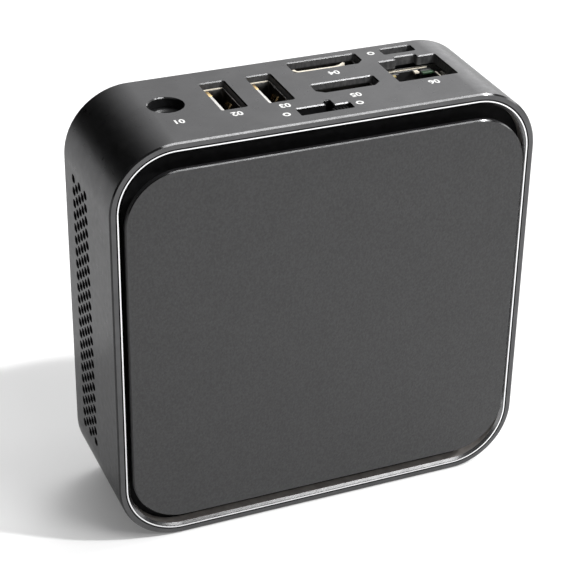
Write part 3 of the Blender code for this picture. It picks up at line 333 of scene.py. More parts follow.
def loft(mesh, axis, sections, finish=0, ring=False):
    """Skin outlines given with their places along an axis. A ring joins up, else the ends close."""
    rows = [[mesh.verts.new(placed(axis, point, along)) for point in outline]
            for outline, along in sections]
    pairs = list(zip(rows, rows[1:] + rows[:1] if ring else rows[1:]))
    finishes = finish if isinstance(finish, (list, tuple)) else [finish] * len(pairs)
    for (row, after), number in zip(pairs, finishes):
        for k in range(len(row)):
            face = mesh.faces.new((row[k - 1], row[k], after[k], after[k - 1]))
            face.material_index = number
    if not ring:
        for row, number in ((rows[0], finishes[0]), (rows[-1], finishes[-1])):
            mesh.faces.new(row).material_index = number


def turned(mesh, axis, centre, profile, finish=0, ring=False, steps=ROUND_STEPS):
    """Round body through (radius, place) pairs along an axis."""
    sections = [(circle(radius, centre, steps), along) for radius, along in profile]
    loft(mesh, axis, sections, finish, ring)


def soft_box(mesh, across, depth, height, edge, finish=0):
    """Box between limits, with its edges rounded."""
    spans = (across, depth, height)
    size = Matrix.Diagonal([high - low for low, high in spans] + [1.0])
    place = Matrix.Translation(at(*[(low + high) / 2 for low, high in spans]))
    corners = bmesh.ops.create_cube(mesh, size=1.0, matrix=place @ size)["verts"]
    for face in {face for corner in corners for face in corner.link_faces}:
        face.material_index = finish
    edges = list({line for corner in corners for line in corner.link_edges})
    bmesh.ops.bevel(mesh, geom=edges, offset=edge, segments=2, profile=0.5, affect="EDGES", material=-1)


def ribbon(mesh, axis, path, ends, thick, finish=0):
    """Bent strip of sheet: a path across an axis, between two ends along the axis."""
    left, right = [], []
    for k, point in enumerate(path):
        before, after = Vector(path[max(k - 1, 0)]), Vector(path[min(k + 1, len(path) - 1)])
        along = (after - before).normalized()
        side = Vector((-along.y, along.x)) * thick / 2
        left.append(tuple(Vector(point) + side))
        right.append(tuple(Vector(point) - side))
    outline = left + right[::-1]
    loft(mesh, axis, [(outline, end) for end in ends], finish)


def bevelled_cut(mesh, axis, shape, face, way, bevel, reach, finish):
    """Cutter with a bevelled mouth at a face, where way points out of that face."""
    loft(mesh, axis, [(shape(2 * bevel), face + way * bevel), (shape(0.0), face - way * bevel),
                      (shape(0.0), face - way * reach)], finish)


def linked(name, mesh, finishes):
    """Object in the scene that holds a mesh with its finishes."""
    bmesh.ops.recalc_face_normals(mesh, faces=mesh.faces)
    data = bpy.data.meshes.new(name)
    mesh.to_mesh(data)
    mesh.free()
    for each in finishes:
        data.materials.append(material(each))
    made = bpy.data.objects.new(name, data)
    bpy.context.scene.collection.objects.link(made)
    return made


def carve(solid, cutter, finishes):
    """Cut one mesh away from another, and return what is left."""
    pair = [linked("carving", mesh, finishes) for mesh in (solid, cutter)]
    pair[0].modifiers.new("cut", "BOOLEAN").object = pair[1]
    left = bmesh.new()
    left.from_object(pair[0], bpy.context.evaluated_depsgraph_get())
    for carving in pair:
        data = carving.data
        bpy.data.objects.remove(carving)
        bpy.data.meshes.remove(data)
    return left


def piece(name, mesh, finishes, nodes=(), body="case"):
    """Finished object: shaded, riding on its body, standing for the nodes it replaces."""
    made = linked(name, mesh, finishes)
    made.data.shade_smooth()
    made.data.set_sharp_from_angle(angle=SMOOTH_BELOW)
    weighted = made.modifiers.new("even shading", "WEIGHTED_NORMAL")
    weighted.keep_sharp = True
    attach(made, body)
    if nodes:
        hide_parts(*nodes)


# Finishes

# Parts of a pattern's range over which a shade, two layers and a gloss change
SHADE_SPAN = (0.35, 0.65)
LAYER_SPAN = (0.4, 0.6)
GLOSS_SPAN = (0.3, 0.7)
EVEN = (1.0, 1.0, 1.0)


class Nodes:
    """Node tree, with a helper that adds a node and sets or links its inputs."""

    def __init__(self, tree):
        self.nodes = tree.nodes
        self.links = tree.links

    def node(self, kind, inputs, **options):
        made = self.nodes.new(kind)
        for name, value in options.items():
            setattr(made, name, value)
        for name, value in inputs.items():
            if isinstance(value, bpy.types.NodeSocket):
                self.links.new(value, made.inputs[name])
            else:
                made.inputs[name].default_value = value
        return made

    def combined(self, operation, first, second):
        """Result of a sum, a product or a test on two values."""
        return self.node("ShaderNodeMath", {0: first, 1: second}, operation=operation).outputs["Value"]


class Look(Nodes):
    """Principled material, with helpers that draw its detail in the object's own metres."""

    def __init__(self, name, colour, roughness, metallic=0.0, **sockets):
        self.material = bpy.data.materials.new(name)
        self.material.use_nodes = True
        super().__init__(self.material.node_tree)
        self.shader = self.nodes["Principled BSDF"]
        self.colour = Vector(colour)
        values = {"Base Color": (*colour, 1.0), "Roughness": roughness, "Metallic": metallic, **sockets}
        for socket, value in values.items():
            self.shader.inputs[socket].default_value = value
        self.place = self.nodes.new("ShaderNodeTexCoord").outputs["Object"]
        self.drawn = {}

    def scaled(self, size, stretch=EVEN):
        scale = [1.0 / (size * along) for along in stretch]
        return self.node("ShaderNodeMapping", {"Vector": self.place, "Scale": scale}).outputs["Vector"]

    def noise(self, size, detail=2.0, stretch=EVEN):
        """Cloudy pattern with features about as large as a size in millimetres."""
        inputs = {"Vector": self.scaled(size * MM, stretch), "Scale": 1.0, "Detail": detail}
        return self.node("ShaderNodeTexNoise", inputs).outputs["Fac"]

    def pattern(self, source):
        """Pattern that is drawn once, by a function of the look or as noise."""
        if source not in self.drawn:
            self.drawn[source] = source(self) if callable(source) else self.noise(*source)
        return self.drawn[source]

    def shade(self, value, dark, light, span=SHADE_SPAN):
        """Colour that runs between two shares of the base colour, or between two colours."""
        ramp = self.node("ShaderNodeValToRGB", {"Fac": value})
        for stop, spot, share in zip(ramp.color_ramp.elements, span, (dark, light)):
            stop.position = spot
            stop.color = (*(self.colour * share if isinstance(share, float) else share), 1.0)
        self.links.new(ramp.outputs["Color"], self.shader.inputs["Base Color"])

    def gloss(self, value, low, high):
        """Roughness that runs between two values."""
        inputs = {"Value": value, "From Min": GLOSS_SPAN[0], "From Max": GLOSS_SPAN[1],
                  "To Min": low, "To Max": high}
        mapped = self.node("ShaderNodeMapRange", inputs)
        self.links.new(mapped.outputs["Result"], self.shader.inputs["Roughness"])

    def relief(self, value, depth):
        """Fine bumps of a depth in millimetres."""
        bump = self.node("ShaderNodeBump", {"Height": value, "Distance": depth * MM, "Strength": 1.0})
        self.links.new(bump.outputs["Normal"], self.shader.inputs["Normal"])


def tracks(look):
    """Lines of a circuit board."""
    inputs = {"Vector": look.scaled(1.0 * MM), "Scale": 0.6, "Mortar Size": 0.05, "Brick Width": 2.6,
              "Row Height": 0.5}
    return look.node("ShaderNodeTexBrick", inputs).outputs["Fac"]


def windings(look):
    """Turns of fine wire."""
    inputs = {"Vector": look.scaled(0.3 * MM * math.pi / 10), "Scale": 0.5}
    return look.node("ShaderNodeTexWave", inputs, bands_direction="Y").outputs["Fac"]


class Finish(NamedTuple):
    """Row of the table of finishes.

    Shade, gloss and relief each start with a pattern: a function, or the size, detail and stretch of a
    noise. Then come two shares of the colour, two roughnesses, and a depth.
    """
    colour: str
    roughness: float
    metallic: float
    shade: tuple
    gloss: tuple = ()
    relief: tuple = ()
    sockets: dict = {}


FINISHES = {
    "satin_metal": Finish("satin", 0.3, 1.0, ((6.0, 4.0), 0.95, 1.05), ((2.0, 3.0), 0.27, 0.34),
                          ((0.22,), 0.012), {"Specular Tint": (0.6, 0.6, 0.6, 1.0)}),
    # Front band of the rim: the satin metal, a little rougher, with its colour lowered as painted shade
    # on the front face
    "rim_band": Finish("satin", 0.34, 1.0, ((4.0, 4.0), 0.85, 0.98), ((1.5, 3.0), 0.3, 0.4),
                       ((0.22,), 0.012)),
    "edge_metal": Finish("edge", 0.13, 1.0, ((2.0, 3.0), 0.92, 1.08), ((0.8,), 0.11, 0.15)),
    "port_edge": Finish("edge", 0.16, 1.0, ((2.0, 3.0), 1.9, 2.1), ((0.8,), 0.13, 0.19)),
    "cut_wall": Finish("satin", 0.6, 0.3, ((0.5, 3.0, (1.0, 1.0, 4.0)), 0.55, 1.1),
                       relief=((0.3, 2.0, (1.0, 1.0, 5.0)), 0.03)),
    "polished_metal": Finish("polished", 0.16, 1.0, ((3.0, 3.0), 0.93, 1.0), ((1.0,), 0.12, 0.22)),
    "brushed_bevel": Finish("polished", 0.22, 1.0, ((3.0, 3.0), 0.16, 0.2), ((0.8,), 0.18, 0.26)),
    "groove_wall": Finish("groove", 0.6, 0.2, ((2.0, 3.0), 0.85, 1.15), ((0.6,), 0.55, 0.7)),
    "shadow_line": Finish("moulding", 0.7, 0.0, ((1.0,), 0.4, 0.7), sockets={"Specular IOR Level": 0.1}),
    # Near black for the walls of the side slots, the inlet hole and the split slot: painted shade in the
    # frame's holes
    "vent_black": Finish("moulding", 0.8, 0.0, ((1.0,), 0.4, 0.7), sockets={"Specular IOR Level": 0.1}),
    "shell_inside": Finish("satin", 0.55, 1.0, ((4.0, 3.0), 0.75, 0.95), relief=((0.4,), 0.02)),
    "lid_grain": Finish("plate", 0.46, 0.0, ((0.6,), 0.8, 1.2), ((9.0, 3.0), 0.43, 0.50),
                        ((0.55, 1.0), 0.06), {"Specular IOR Level": 0.44}),
    "lid_edge": Finish("edge", 0.16, 1.0, ((2.0,), 0.9, 1.1), ((0.8,), 0.13, 0.19)),
    "black_moulding": Finish("moulding", 0.45, 0.0, ((3.0, 3.0), 0.8, 1.25), ((1.2,), 0.38, 0.52),
                             ((0.3,), 0.012)),
    "tray_black": Finish("moulding", 0.75, 0.0, ((2.0,), 0.3, 0.55), relief=((0.35,), 0.01),
                         sockets={"Specular IOR Level": 0.12}),
    "foot_rubber": Finish("rubber", 0.82, 0.0, ((1.5, 4.0), 0.75, 1.35), relief=((0.25,), 0.02),
                          sockets={"Sheen Weight": 0.15}),
    "socket_steel": Finish("steel", 0.3, 1.0, ((1.5, 3.0), 0.9, 1.06),
                           ((0.5, 2.0, (1.0, 1.0, 12.0)), 0.24, 0.38)),
    # Socket steel made nearly black: painted shade inside the socket shells and on the blower cover
    "dark_steel": Finish("steel", 0.4, 1.0, ((1.5, 3.0), 0.05, 0.1),
                         ((0.5, 2.0, (1.0, 1.0, 12.0)), 0.34, 0.48)),
    "screw_steel": Finish("steel", 0.32, 1.0, ((1.0, 3.0), 0.32, 0.45), ((0.4,), 0.26, 0.4)),
    "contact_gold": Finish("gold", 0.25, 1.0, ((1.0,), 0.9, 1.08), ((0.4,), 0.2, 0.34)),
    # Pale bars in the sockets, and the painted glints and painted highlight of the square socket
    "ivory_bar": Finish("ivory", 0.45, 0.0, ((0.8,), 0.9, 1.08)),
    "lamp_green": Finish("green", 0.3, 0.0, ((0.6,), 0.8, 1.2), sockets={"Coat Weight": 0.5}),
    "lamp_amber": Finish("amber", 0.3, 0.0, ((0.6,), 0.85, 1.15), sockets={"Coat Weight": 0.5}),
    "clear_lens": Finish("lens", 0.12, 0.0, ((0.8,), 0.94, 1.0),
                         sockets={"Transmission Weight": 0.6, "IOR": 1.49}),
    "print_white": Finish("print", 0.6, 0.0, ((0.25,), 0.86, 1.0)),
    "board_lacquer": Finish("board", 0.36, 0.0, (tracks, 0.8, 1.9), relief=(tracks, 0.02),
                            sockets={"Coat Weight": 0.3}),
    "pipe_copper": Finish("copper", 0.32, 1.0, ((8.0, 4.0), 0.72, 1.05),
                          ((1.0, 2.0, (10.0, 1.0, 1.0)), 0.25, 0.42)),
    "coil_copper": Finish("copper", 0.35, 1.0, (windings, 0.35, 0.9), relief=(windings, 0.08)),
    "fin_aluminium": Finish("aluminium", 0.35, 1.0, ((3.0, 3.0), 0.85, 1.02),
                            ((0.4, 2.0, (1.0, 14.0, 1.0)), 0.28, 0.46)),
    "cell_steel": Finish("cell", 0.26, 1.0, ((2.0, 3.0), 0.9, 1.03),
                         ((0.3, 2.0, (20.0, 1.0, 1.0)), 0.2, 0.36)),
}


@functools.lru_cache(maxsize=None)
def material(name):
    """Material of a row of the table, made once and handed out again afterwards."""
    row = FINISHES[name]
    colour = getattr(settings().colours, row.colour)
    look = Look(name, colour, row.roughness, row.metallic, **row.sockets)
    for draw, detail in ((look.shade, row.shade), (look.gloss, row.gloss), (look.relief, row.relief)):
        if detail:
            source, *values = detail
            draw(look.pattern(source), *values)
    return look.material


# Shell

# Finishes of the frame, and its section: inset, depth, and finish of the strip that follows
SHELL_FINISHES = ("satin_metal", "rim_band", "edge_metal", "polished_metal", "brushed_bevel",
                  "shadow_line", "groove_wall", "shell_inside", "cut_wall", "vent_black", "port_edge")
SATIN, BAND, EDGE, POLISHED, BEVEL, LINE, WALL, INSIDE, CUT, PAINTED_SHADE, PORT = range(len(SHELL_FINISHES))
RIM_SECTIONS = (
    (0.35, 37.2, SATIN), (0.10, 37.1, SATIN), (0.0, 36.85, SATIN), (0.0, 0.38, EDGE), (0.38, 0.0, BAND),
    (1.52, 0.0, LINE), (1.55, 0.30, LINE), (1.85, 0.30, LINE), (1.89, 0.02, POLISHED),
    (2.22, 0.05, EDGE), (2.33, 0.13, BEVEL), (3.0, 0.63, WALL), (3.0, 3.1, INSIDE), (2.5, 3.1, INSIDE),
    (2.5, 5.1, INSIDE), (4.5, 5.1, INSIDE), (4.5, 6.6, INSIDE), (2.5, 6.6, INSIDE), (2.5, 37.2, SATIN),
)
# Posts for the cover's screws, as radii and depths
POST = ((1.6, 13.9), (4.0, 13.9), (4.0, 34.2), (1.6, 34.2))

# Cut-outs: sizes, cut corners, and the step for the catch of the network plug
INLET_HOLE = 4.4
DATA_HOLE = (6.45, 16.4)
WIDE_HOLE = (18.8, 6.15)
WIDE_CORNER = 1.6
SLIM_HOLE = (16.8, 5.5)
SLIM_CORNERS = (1.8, 1.5)
NETWORK_HOLE = (15.9, 13.1)
NETWORK_STEP = (5.9, 1.5)
NETWORK_CORNER = 0.4
LOCK_HOLE = (8.6, 3.6)
LOCK_DEPTH = 32.7
LATCH_SLOT = ((-6.05, 4.0), (7.4, 4.0), (7.4, 7.05), (3.43, 7.05), (3.43, 10.0), (1.74, 10.0),
              (1.74, 8.0), (-6.05, 8.0))
LATCH_CORNER = 0.3
STANDING_HOLES = (("power_button", 3.9), ("status_light_pipe", 1.3))
VENT_PITCH = (2.42, 3.43)
VENT_DEPTH = 24.6
CUT_PAST_WALL = 0.6
# Pocket for the latch's guide, past the guide's sides and front and past the wall's inner face
POCKET_SIDE = 0.3
POCKET_DEPTH = (-0.15, 1.8)
POCKET_HEIGHT = (-2.3, 0.15)


def shell_outline(inset):
    radius = settings().shell.corner_radius - inset
    return rounded(WIDTH - 2 * inset, HEIGHT - 2 * inset, radius, (0.0, HEIGHT / 2))


def around(node, points):
    """Outline moved to the middle of a node."""
    across, depth, _ = middle(node)
    return [(across + u, depth + v) for u, v in points]


def wide_points(size):
    """Long socket with its front right corner cut."""
    u, v, cut = size[0] / 2, size[1] / 2, WIDE_CORNER * MM
    return around("video_socket_wide_shell", ((-u, -v), (u - cut, -v), (u, cut - v), (u, v), (-u, v)))


def slim_points(size):
    """Long socket with both front corners cut."""
    u, v = size[0] / 2, size[1] / 2
    cut_u, cut_v = mm(*SLIM_CORNERS)
    return around("video_socket_slim_shell", ((cut_u - u, -v), (u - cut_u, -v), (u, cut_v - v), (u, v),
                                              (-u, v), (-u, cut_v - v)))


def network_points(size, step):
    """Square socket with a step at the back for the plug's catch."""
    u, v, k = size[0] / 2, size[1] / 2, step[0] / 2
    return around("network_socket_can", ((-u, -v), (u, -v), (u, v), (k, v), (k, v + step[1]),
                                         (-k, v + step[1]), (-k, v), (-u, v)))


def port_shapes():
    """Shapes of the cut-outs in the upper wall, each with the finish of its sides."""
    corner = settings().sockets.corner
    # The walls of the inlet hole are painted shade
    yield round_shape(INLET_HOLE * MM, middle("power_inlet_pin")[:2]), PAINTED_SHADE
    for number in (1, 2):
        centre = middle(f"data_socket_{number}_shell")[:2]
        yield cut_shape(rectangle(mm(*DATA_HOLE), centre), corner), CUT
    yield cut_shape(wide_points(mm(*WIDE_HOLE)), corner), CUT
    yield cut_shape(slim_points(mm(*SLIM_HOLE)), corner), CUT
    square = network_points(mm(*NETWORK_HOLE), mm(*NETWORK_STEP))
    yield cut_shape(square, NETWORK_CORNER * MM), CUT
    lock = (middle("network_socket_can")[0], LOCK_DEPTH * MM)
    yield cut_shape(rectangle(mm(*LOCK_HOLE), lock), corner), CUT
    # The walls of the split slot are painted shade
    yield cut_shape([mm(*point) for point in LATCH_SLOT], LATCH_CORNER * MM), PAINTED_SHADE


def build_shell():
    size = settings().shell
    mesh = bmesh.new()
    sections = [(shell_outline(inset * MM), depth * MM) for inset, depth, _ in RIM_SECTIONS]
    loft(mesh, "Y", sections, [number for _, _, number in RIM_SECTIONS], ring=True)
    cutter = bmesh.new()
    reach = size.wall + CUT_PAST_WALL * MM
    for shape, sides in port_shapes():
        bevelled_cut(cutter, "Z", shape, HEIGHT, 1, size.port_bevel, reach, (PORT, sides))
    places = lattice(size.vent_columns, size.vent_rows, mm(*VENT_PITCH), (VENT_DEPTH * MM, HEIGHT / 2))
    # The walls of the side slots are painted shade
    for side in (-1, 1):
        for place in places:
            slot = slot_shape(size.vent_length, size.vent_height, place)
            bevelled_cut(cutter, "X", slot, side * WIDTH / 2, side, size.vent_bevel, reach,
                         (SATIN, PAINTED_SHADE))
    for node, radius in STANDING_HOLES:
        hole = round_shape(radius * MM, (middle(node)[0], middle("power_button")[1]))
        bevelled_cut(cutter, "Z", hole, 0.0, -1, size.port_bevel, reach, (PORT, CUT))
    mesh = carve(mesh, cutter, SHELL_FINISHES)
    pocket = bmesh.new()
    (left, right), (front, _), _ = limits("latch_guide")
    side = POCKET_SIDE * MM
    soft_box(pocket, (left - side, right + side), past(front, *POCKET_DEPTH),
             past(HEIGHT - size.wall, *POCKET_HEIGHT), edge=0.05 * MM, finish=INSIDE)
    mesh = carve(mesh, pocket, SHELL_FINISHES)
    for place in spots("cover_screw"):
        turned(mesh, "Y", place, shifted(POST, 0.0), INSIDE, ring=True)
    piece("shell", mesh, SHELL_FINISHES, ["main_shell"])


# Lid

# Edge at the back of the plate, as inset and depth, and flat strip inside its front edge
PLATE_BACK_EDGE = (0.20, 0.12)
PLATE_FACE_STRIP = 0.1
# Tray: depths of its floor and back, its edge, and the fillet of its block, as growth and rise
TRAY_FLOOR = 3.2
TRAY_BACK = 4.8
TRAY_EDGE = 0.2
BLOCK_FILLET = ((0.5, 0.0), (0.15, 0.15), (0.0, 0.5))
# Hook of the tray that the latch holds: limits across of its arm and its tip, behind the rim, and up,
# its edge, and how far the arm is sunk in the tray
HOOK_ARM = (6.0, 7.5)
HOOK_TIP = (2.7, 7.5)
HOOK_DEPTH = (7.1, 8.6)
HOOK_HEIGHT = (103.3, 106.1)
HOOK_EDGE = 0.15
HOOK_SUNK = 0.2


def lid_outline(inset):
    (left, right), _, (low, high) = limits("lid_panel")
    radius = settings().lid.corner_radius - inset
    return rounded(right - left - 2 * inset, high - low - 2 * inset, radius, (0.0, (low + high) / 2))


def build_lid():
    size = settings().lid
    grain, edge, moulding = range(3)
    _, (face, back), _ = limits("lid_panel")
    inset, drop = mm(*PLATE_BACK_EDGE)
    strip = size.edge + PLATE_FACE_STRIP * MM
    mesh = bmesh.new()
    loft(mesh, "Y", [(lid_outline(inset), back), (lid_outline(0.0), back - drop),
                     (lid_outline(0.0), face + size.edge), (lid_outline(size.edge), face),
                     (lid_outline(strip), face)], (edge, moulding, edge, grain))
    piece("lid_plate", mesh, ("lid_grain", "lid_edge", "black_moulding"), ["lid_panel"])

    _, (front, _), (low, _) = limits("lid_tray")
    floor, tray_back, bevel = mm(TRAY_FLOOR, TRAY_BACK, TRAY_EDGE)
    fillet = [(lid_outline(size.overhang - growth * MM), floor - rise * MM)
              for growth, rise in BLOCK_FILLET]
    mesh = bmesh.new()
    loft(mesh, "Y", [(shell_outline(low), tray_back), (shell_outline(low), floor + bevel),
                     (shell_outline(low + bevel), floor), *fillet, (lid_outline(size.overhang), front)])
    arm = (tray_back - HOOK_SUNK * MM, HOOK_DEPTH[1] * MM)
    soft_box(mesh, mm(*HOOK_ARM), arm, mm(*HOOK_HEIGHT), edge=HOOK_EDGE * MM)
    soft_box(mesh, mm(*HOOK_TIP), mm(*HOOK_DEPTH), mm(*HOOK_HEIGHT), edge=HOOK_EDGE * MM)
    piece("tray", mesh, ["tray_black"], ["lid_tray"])


# Sockets

SOCKET_FLOOR = 2.5
# Power inlet: bore from its mouth, bends and half width of its spring, and ends of the pin
INLET_BORE = ((3.6, 0.5), (3.6, 0.0), (3.1, -0.5), (3.1, -10.0))
INLET_SPRING = ((-2.95, -9.0), (-2.2, -5.5), (-2.1, -4.0), (-2.9, -2.0))
INLET_SPRING_HALF = 0.8
PIN_FOOT = ((0.55, 0.0), (1.0, 0.1))
PIN_TIP = ((1.0, -0.6), (0.8, -0.15), (0.45, 0.0), (0.35, -0.4))
# Shells of the data sockets: inside of the shell and of its flared mouth, bends, places and half width
# of the springs, and limits of the pale bar behind the mouth
DATA_INSIDE = (5.1, 12.5)
DATA_FLARE = (5.3, 14.7)
DATA_SPRING = ((-0.1, -2.0), (-0.55, -3.4), (-0.8, -4.8), (-0.55, -6.2), (-0.1, -7.6))
DATA_SPRING_PLACES = (-3.1, 3.1)
DATA_SPRING_HALF = 0.9
DATA_BAR_DEPTH = (-0.1, 0.3)
DATA_BAR_HEIGHT = (-0.8, 0.1)
# Blades of the data sockets, as steps from the sides, foot and top of the blade: body, steel face,
# plated block, hooked spring and row of contacts. The top lies a little below the mouth
BLADE_FALL = 0.1
BODY_HEIGHT = (0.0, -1.2)
FACE_ACROSS = (-0.3, 0.9)
FACE_DEPTH = (0.4, -2.0)
FACE_HEIGHT = (-1.6, 0.0)
BLOCK_ACROSS = (-0.3, 1.0)
BLOCK_DEPTH = (-1.9, 1.3)
BLOCK_HEIGHT = (8.0, 0.0)
DATA_HOOK = ((1.65, 0.0), (1.5, -0.5), (1.1, -1.2), (0.9, -2.6), (-0.1, -4.0))
DATA_HOOK_DEPTH = (2.9, 3.6)
DATA_CONTACTS = 4
DATA_PITCH = 2.3
DATA_CONTACT_HALF = 0.5
DATA_CONTACT_ACROSS = (-0.1, 0.15)
DATA_CONTACT_HEIGHT = (1.0, -2.2)
# Video sockets: name, outline, size, thickness and rise of the pale bar, and bends of that bar from the
# start of its blade. Then the sheets of a shell, and steps from the sides, foot and mouth of a blade to
# its body, its bar and the contacts on its front and its back
VIDEO_SOCKETS = (
    ("video_socket_wide", wide_points, (17.6, 5.4), 0.7, 0.3,
     ((-2.6, 1.4), (-2.4, 0.5), (-1.8, -0.15), (8.4, -0.35), (9.8, 0.15), (11.3, 1.3))),
    ("video_socket_slim", slim_points, (15.6, 5.0), 0.35, -0.1, ((0.4, 0.0), (10.6, 0.0))),
)
VIDEO_SHEETS = 0.8
VIDEO_BODY_DEPTH = (0.1, -0.1)
VIDEO_BODY_HEIGHT = (0.0, -1.2)
VIDEO_BAR_FOOT = -2.6
VIDEO_CONTACTS = 9
VIDEO_MARGIN = 0.75
VIDEO_CONTACT_HALF = 0.22
VIDEO_CONTACT_FRONT = (-0.08, 0.2)
VIDEO_CONTACT_BACK = (-0.2, 0.08)
VIDEO_CONTACT_HEIGHT = (1.0, -3.0)
# Network socket: sheet, corners and spring of its can, sides of its insert, hollow for the plug with its
# step, lamps and tabs with their limits across, their limits behind the rim and their finish, bar at the
# back, and row of wires on a bar. The two pale tabs are painted glints, and the pale bar at the back is
# a painted highlight on the can's lip
NETWORK_SHEET = 0.4
CAN_CORNERS = (0.3, 0.5)
NETWORK_SPRING = ((-0.1, -0.3), (-0.8, -2.2), (-0.9, -3.4), (-0.2, -6.0))
NETWORK_SPRING_DEPTH = (-2.6, 2.2)
INSERT_ACROSS = (0.0, -1.2)
NETWORK_HOLLOW = ((11.9, 8.6), (5.9, 0.95))
NETWORK_HOLLOW_EDGE = 0.2
NETWORK_HOLLOW_DEPTH = 14.0
NETWORK_FINISHES = ("black_moulding", "lamp_green", "lamp_amber", "ivory_bar")
MOULDING, GREEN, AMBER, PAINTED_GLINT = range(len(NETWORK_FINISHES))
# The lamps are unlit colours. The two pale tabs are painted glints, on a contact and on the can's inner
# wall
NETWORK_TABS = ((26.4, 28.1, 23.5, 24.4, AMBER), (35.3, 38.4, 22.9, 24.1, GREEN),
                (33.5, 34.8, 23.9, 25.3, PAINTED_GLINT), (38.6, 39.0, 19.5, 23.0, PAINTED_GLINT))
NETWORK_TAB_HEIGHT = (-0.4, 0.1)
# Pale bar at the back: a painted highlight on the can's lip
NETWORK_BAR = (26.9, 37.9)
NETWORK_BAR_DEPTH = (-0.25, 0.0)
NETWORK_BAR_HEIGHT = (-2.0, 0.2)
WIRE_FOOT = ((0.1, 0.0),)
WIRE_BENDS = ((0.1, -2.0), (0.35, -0.6), (1.0, 0.0), (2.6, -3.2), (3.6, -6.0))
WIRES = 8
WIRE_PITCH = 1.02
WIRE_HALF = 0.22
WIRE_BAR_HALF = 4.2
WIRE_BAR_DEPTH = (-0.05, 0.3)
WIRE_BAR_HEIGHT = (0.0, 1.0)


def mouth():
    """Height of the socket mouths, a little below the wall's outer face."""
    return HEIGHT - settings().sockets.set_back


def sleeve(mesh, inner, outer, low, high):
    """Skin between two outlines, open at the top and with a thick floor."""
    loft(mesh, "Z", [(inner, low + SOCKET_FLOOR * MM), (inner, high), (outer, high), (outer, low)])


def build_power_inlet():
    moulding, steel = range(2)
    across, depth, _ = middle("power_inlet_pin")
    spans = limits("power_inlet")
    top = spans[2][1]
    mesh = bmesh.new()
    soft_box(mesh, *spans, edge=0.4 * MM, finish=moulding)
    cutter = bmesh.new()
    turned(cutter, "Z", (across, depth), shifted(INLET_BORE, top), moulding)
    mesh = carve(mesh, cutter, ["black_moulding"])
    ribbon(mesh, "Y", shifted(INLET_SPRING, top, across), astride(depth, INLET_SPRING_HALF),
           thick=0.25 * MM, finish=steel)
    piece("inlet", mesh, ("black_moulding", "socket_steel"), ["power_inlet"])

    _, _, (low, high) = limits("power_inlet_pin")
    mesh = bmesh.new()
    turned(mesh, "Z", (across, depth), shifted(PIN_FOOT, low) + shifted(PIN_TIP, high),
           steps=SMALL_ROUND_STEPS)
    piece("inlet_pin", mesh, ["socket_steel"], ["power_inlet_pin"])


def build_data_shell(name, lip):
    """Folded sheet with a flared mouth, two springs and a pale bar behind its mouth."""
    steel, gold, dark, ivory = range(4)
    across, depth, _ = middle(name + "_shell")
    _, _, (low, _) = limits(name + "_shell")
    sheets = 2 * settings().sockets.sheet
    inner, flare = mm(*DATA_INSIDE), mm(*DATA_FLARE)
    outside, wide = [[value + sheets for value in size] for size in (inner, flare)]
    # Size, corner and place of each ring, from the floor over the lip and down the outside
    rings = ((inner, 0.4, low + SOCKET_FLOOR * MM), (inner, 0.4, lip - 1.8 * MM), (flare, 0.5, lip),
             (wide, 0.6, lip), (wide, 0.6, lip - 0.5 * MM), (outside, 0.6, lip - 2.1 * MM),
             (outside, 0.6, low))
    sections = [(softened(rectangle(size, (across, depth)), corner * MM), along)
                for size, corner, along in rings]
    mesh = bmesh.new()
    # The inside of the shell and of its mouth is painted shade, while its rim and outside are plain
    # steel
    loft(mesh, "Z", sections, (dark, dark, steel, steel, steel, steel))
    spring = shifted(DATA_SPRING, lip, across + inner[0] / 2)
    for place in DATA_SPRING_PLACES:
        sides = past(depth, place - DATA_SPRING_HALF, place + DATA_SPRING_HALF)
        ribbon(mesh, "Y", spring, sides, thick=0.22 * MM, finish=gold)
    half = flare[0] / 2
    soft_box(mesh, (across - half, across + half), past(depth + flare[1] / 2, *DATA_BAR_DEPTH),
             past(lip, *DATA_BAR_HEIGHT), edge=0.1 * MM, finish=ivory)
    piece(name, mesh, ("socket_steel", "contact_gold", "dark_steel", "ivory_bar"),
          [name + "_shell"])


def build_data_blade(name, lip):
    """Tongue with its steel face, its plated block, its contacts and a hooked spring."""
    moulding, steel, gold = range(3)
    _, depth, _ = middle(name + "_shell")
    (left, right), sides, (foot, _) = limits(name + "_tongue")
    front, back = sides
    top = lip - BLADE_FALL * MM
    mesh = bmesh.new()
    soft_box(mesh, (left, right), sides, moved((foot, top), BODY_HEIGHT), edge=0.2 * MM, finish=moulding)
    soft_box(mesh, past(left, *FACE_ACROSS), moved(sides, FACE_DEPTH), past(top, *FACE_HEIGHT),
             edge=0.12 * MM, finish=steel)
    soft_box(mesh, past(left, *BLOCK_ACROSS), past(back, *BLOCK_DEPTH), moved((foot, top), BLOCK_HEIGHT),
             edge=0.15 * MM, finish=gold)
    ribbon(mesh, "Y", shifted(DATA_HOOK, top, right), past(front, *DATA_HOOK_DEPTH), thick=0.3 * MM,
           finish=gold)
    for spot in in_row(DATA_CONTACTS, DATA_PITCH, depth):
        soft_box(mesh, past(right, *DATA_CONTACT_ACROSS), astride(spot, DATA_CONTACT_HALF),
                 moved((foot, top), DATA_CONTACT_HEIGHT), edge=0.08 * MM, finish=gold)
    piece(name + "_blade", mesh, ("black_moulding", "socket_steel", "contact_gold"),
          [name + "_tongue"])


def build_data_sockets():
    for number in (1, 2):
        build_data_shell(f"data_socket_{number}", mouth())
        build_data_blade(f"data_socket_{number}", mouth())


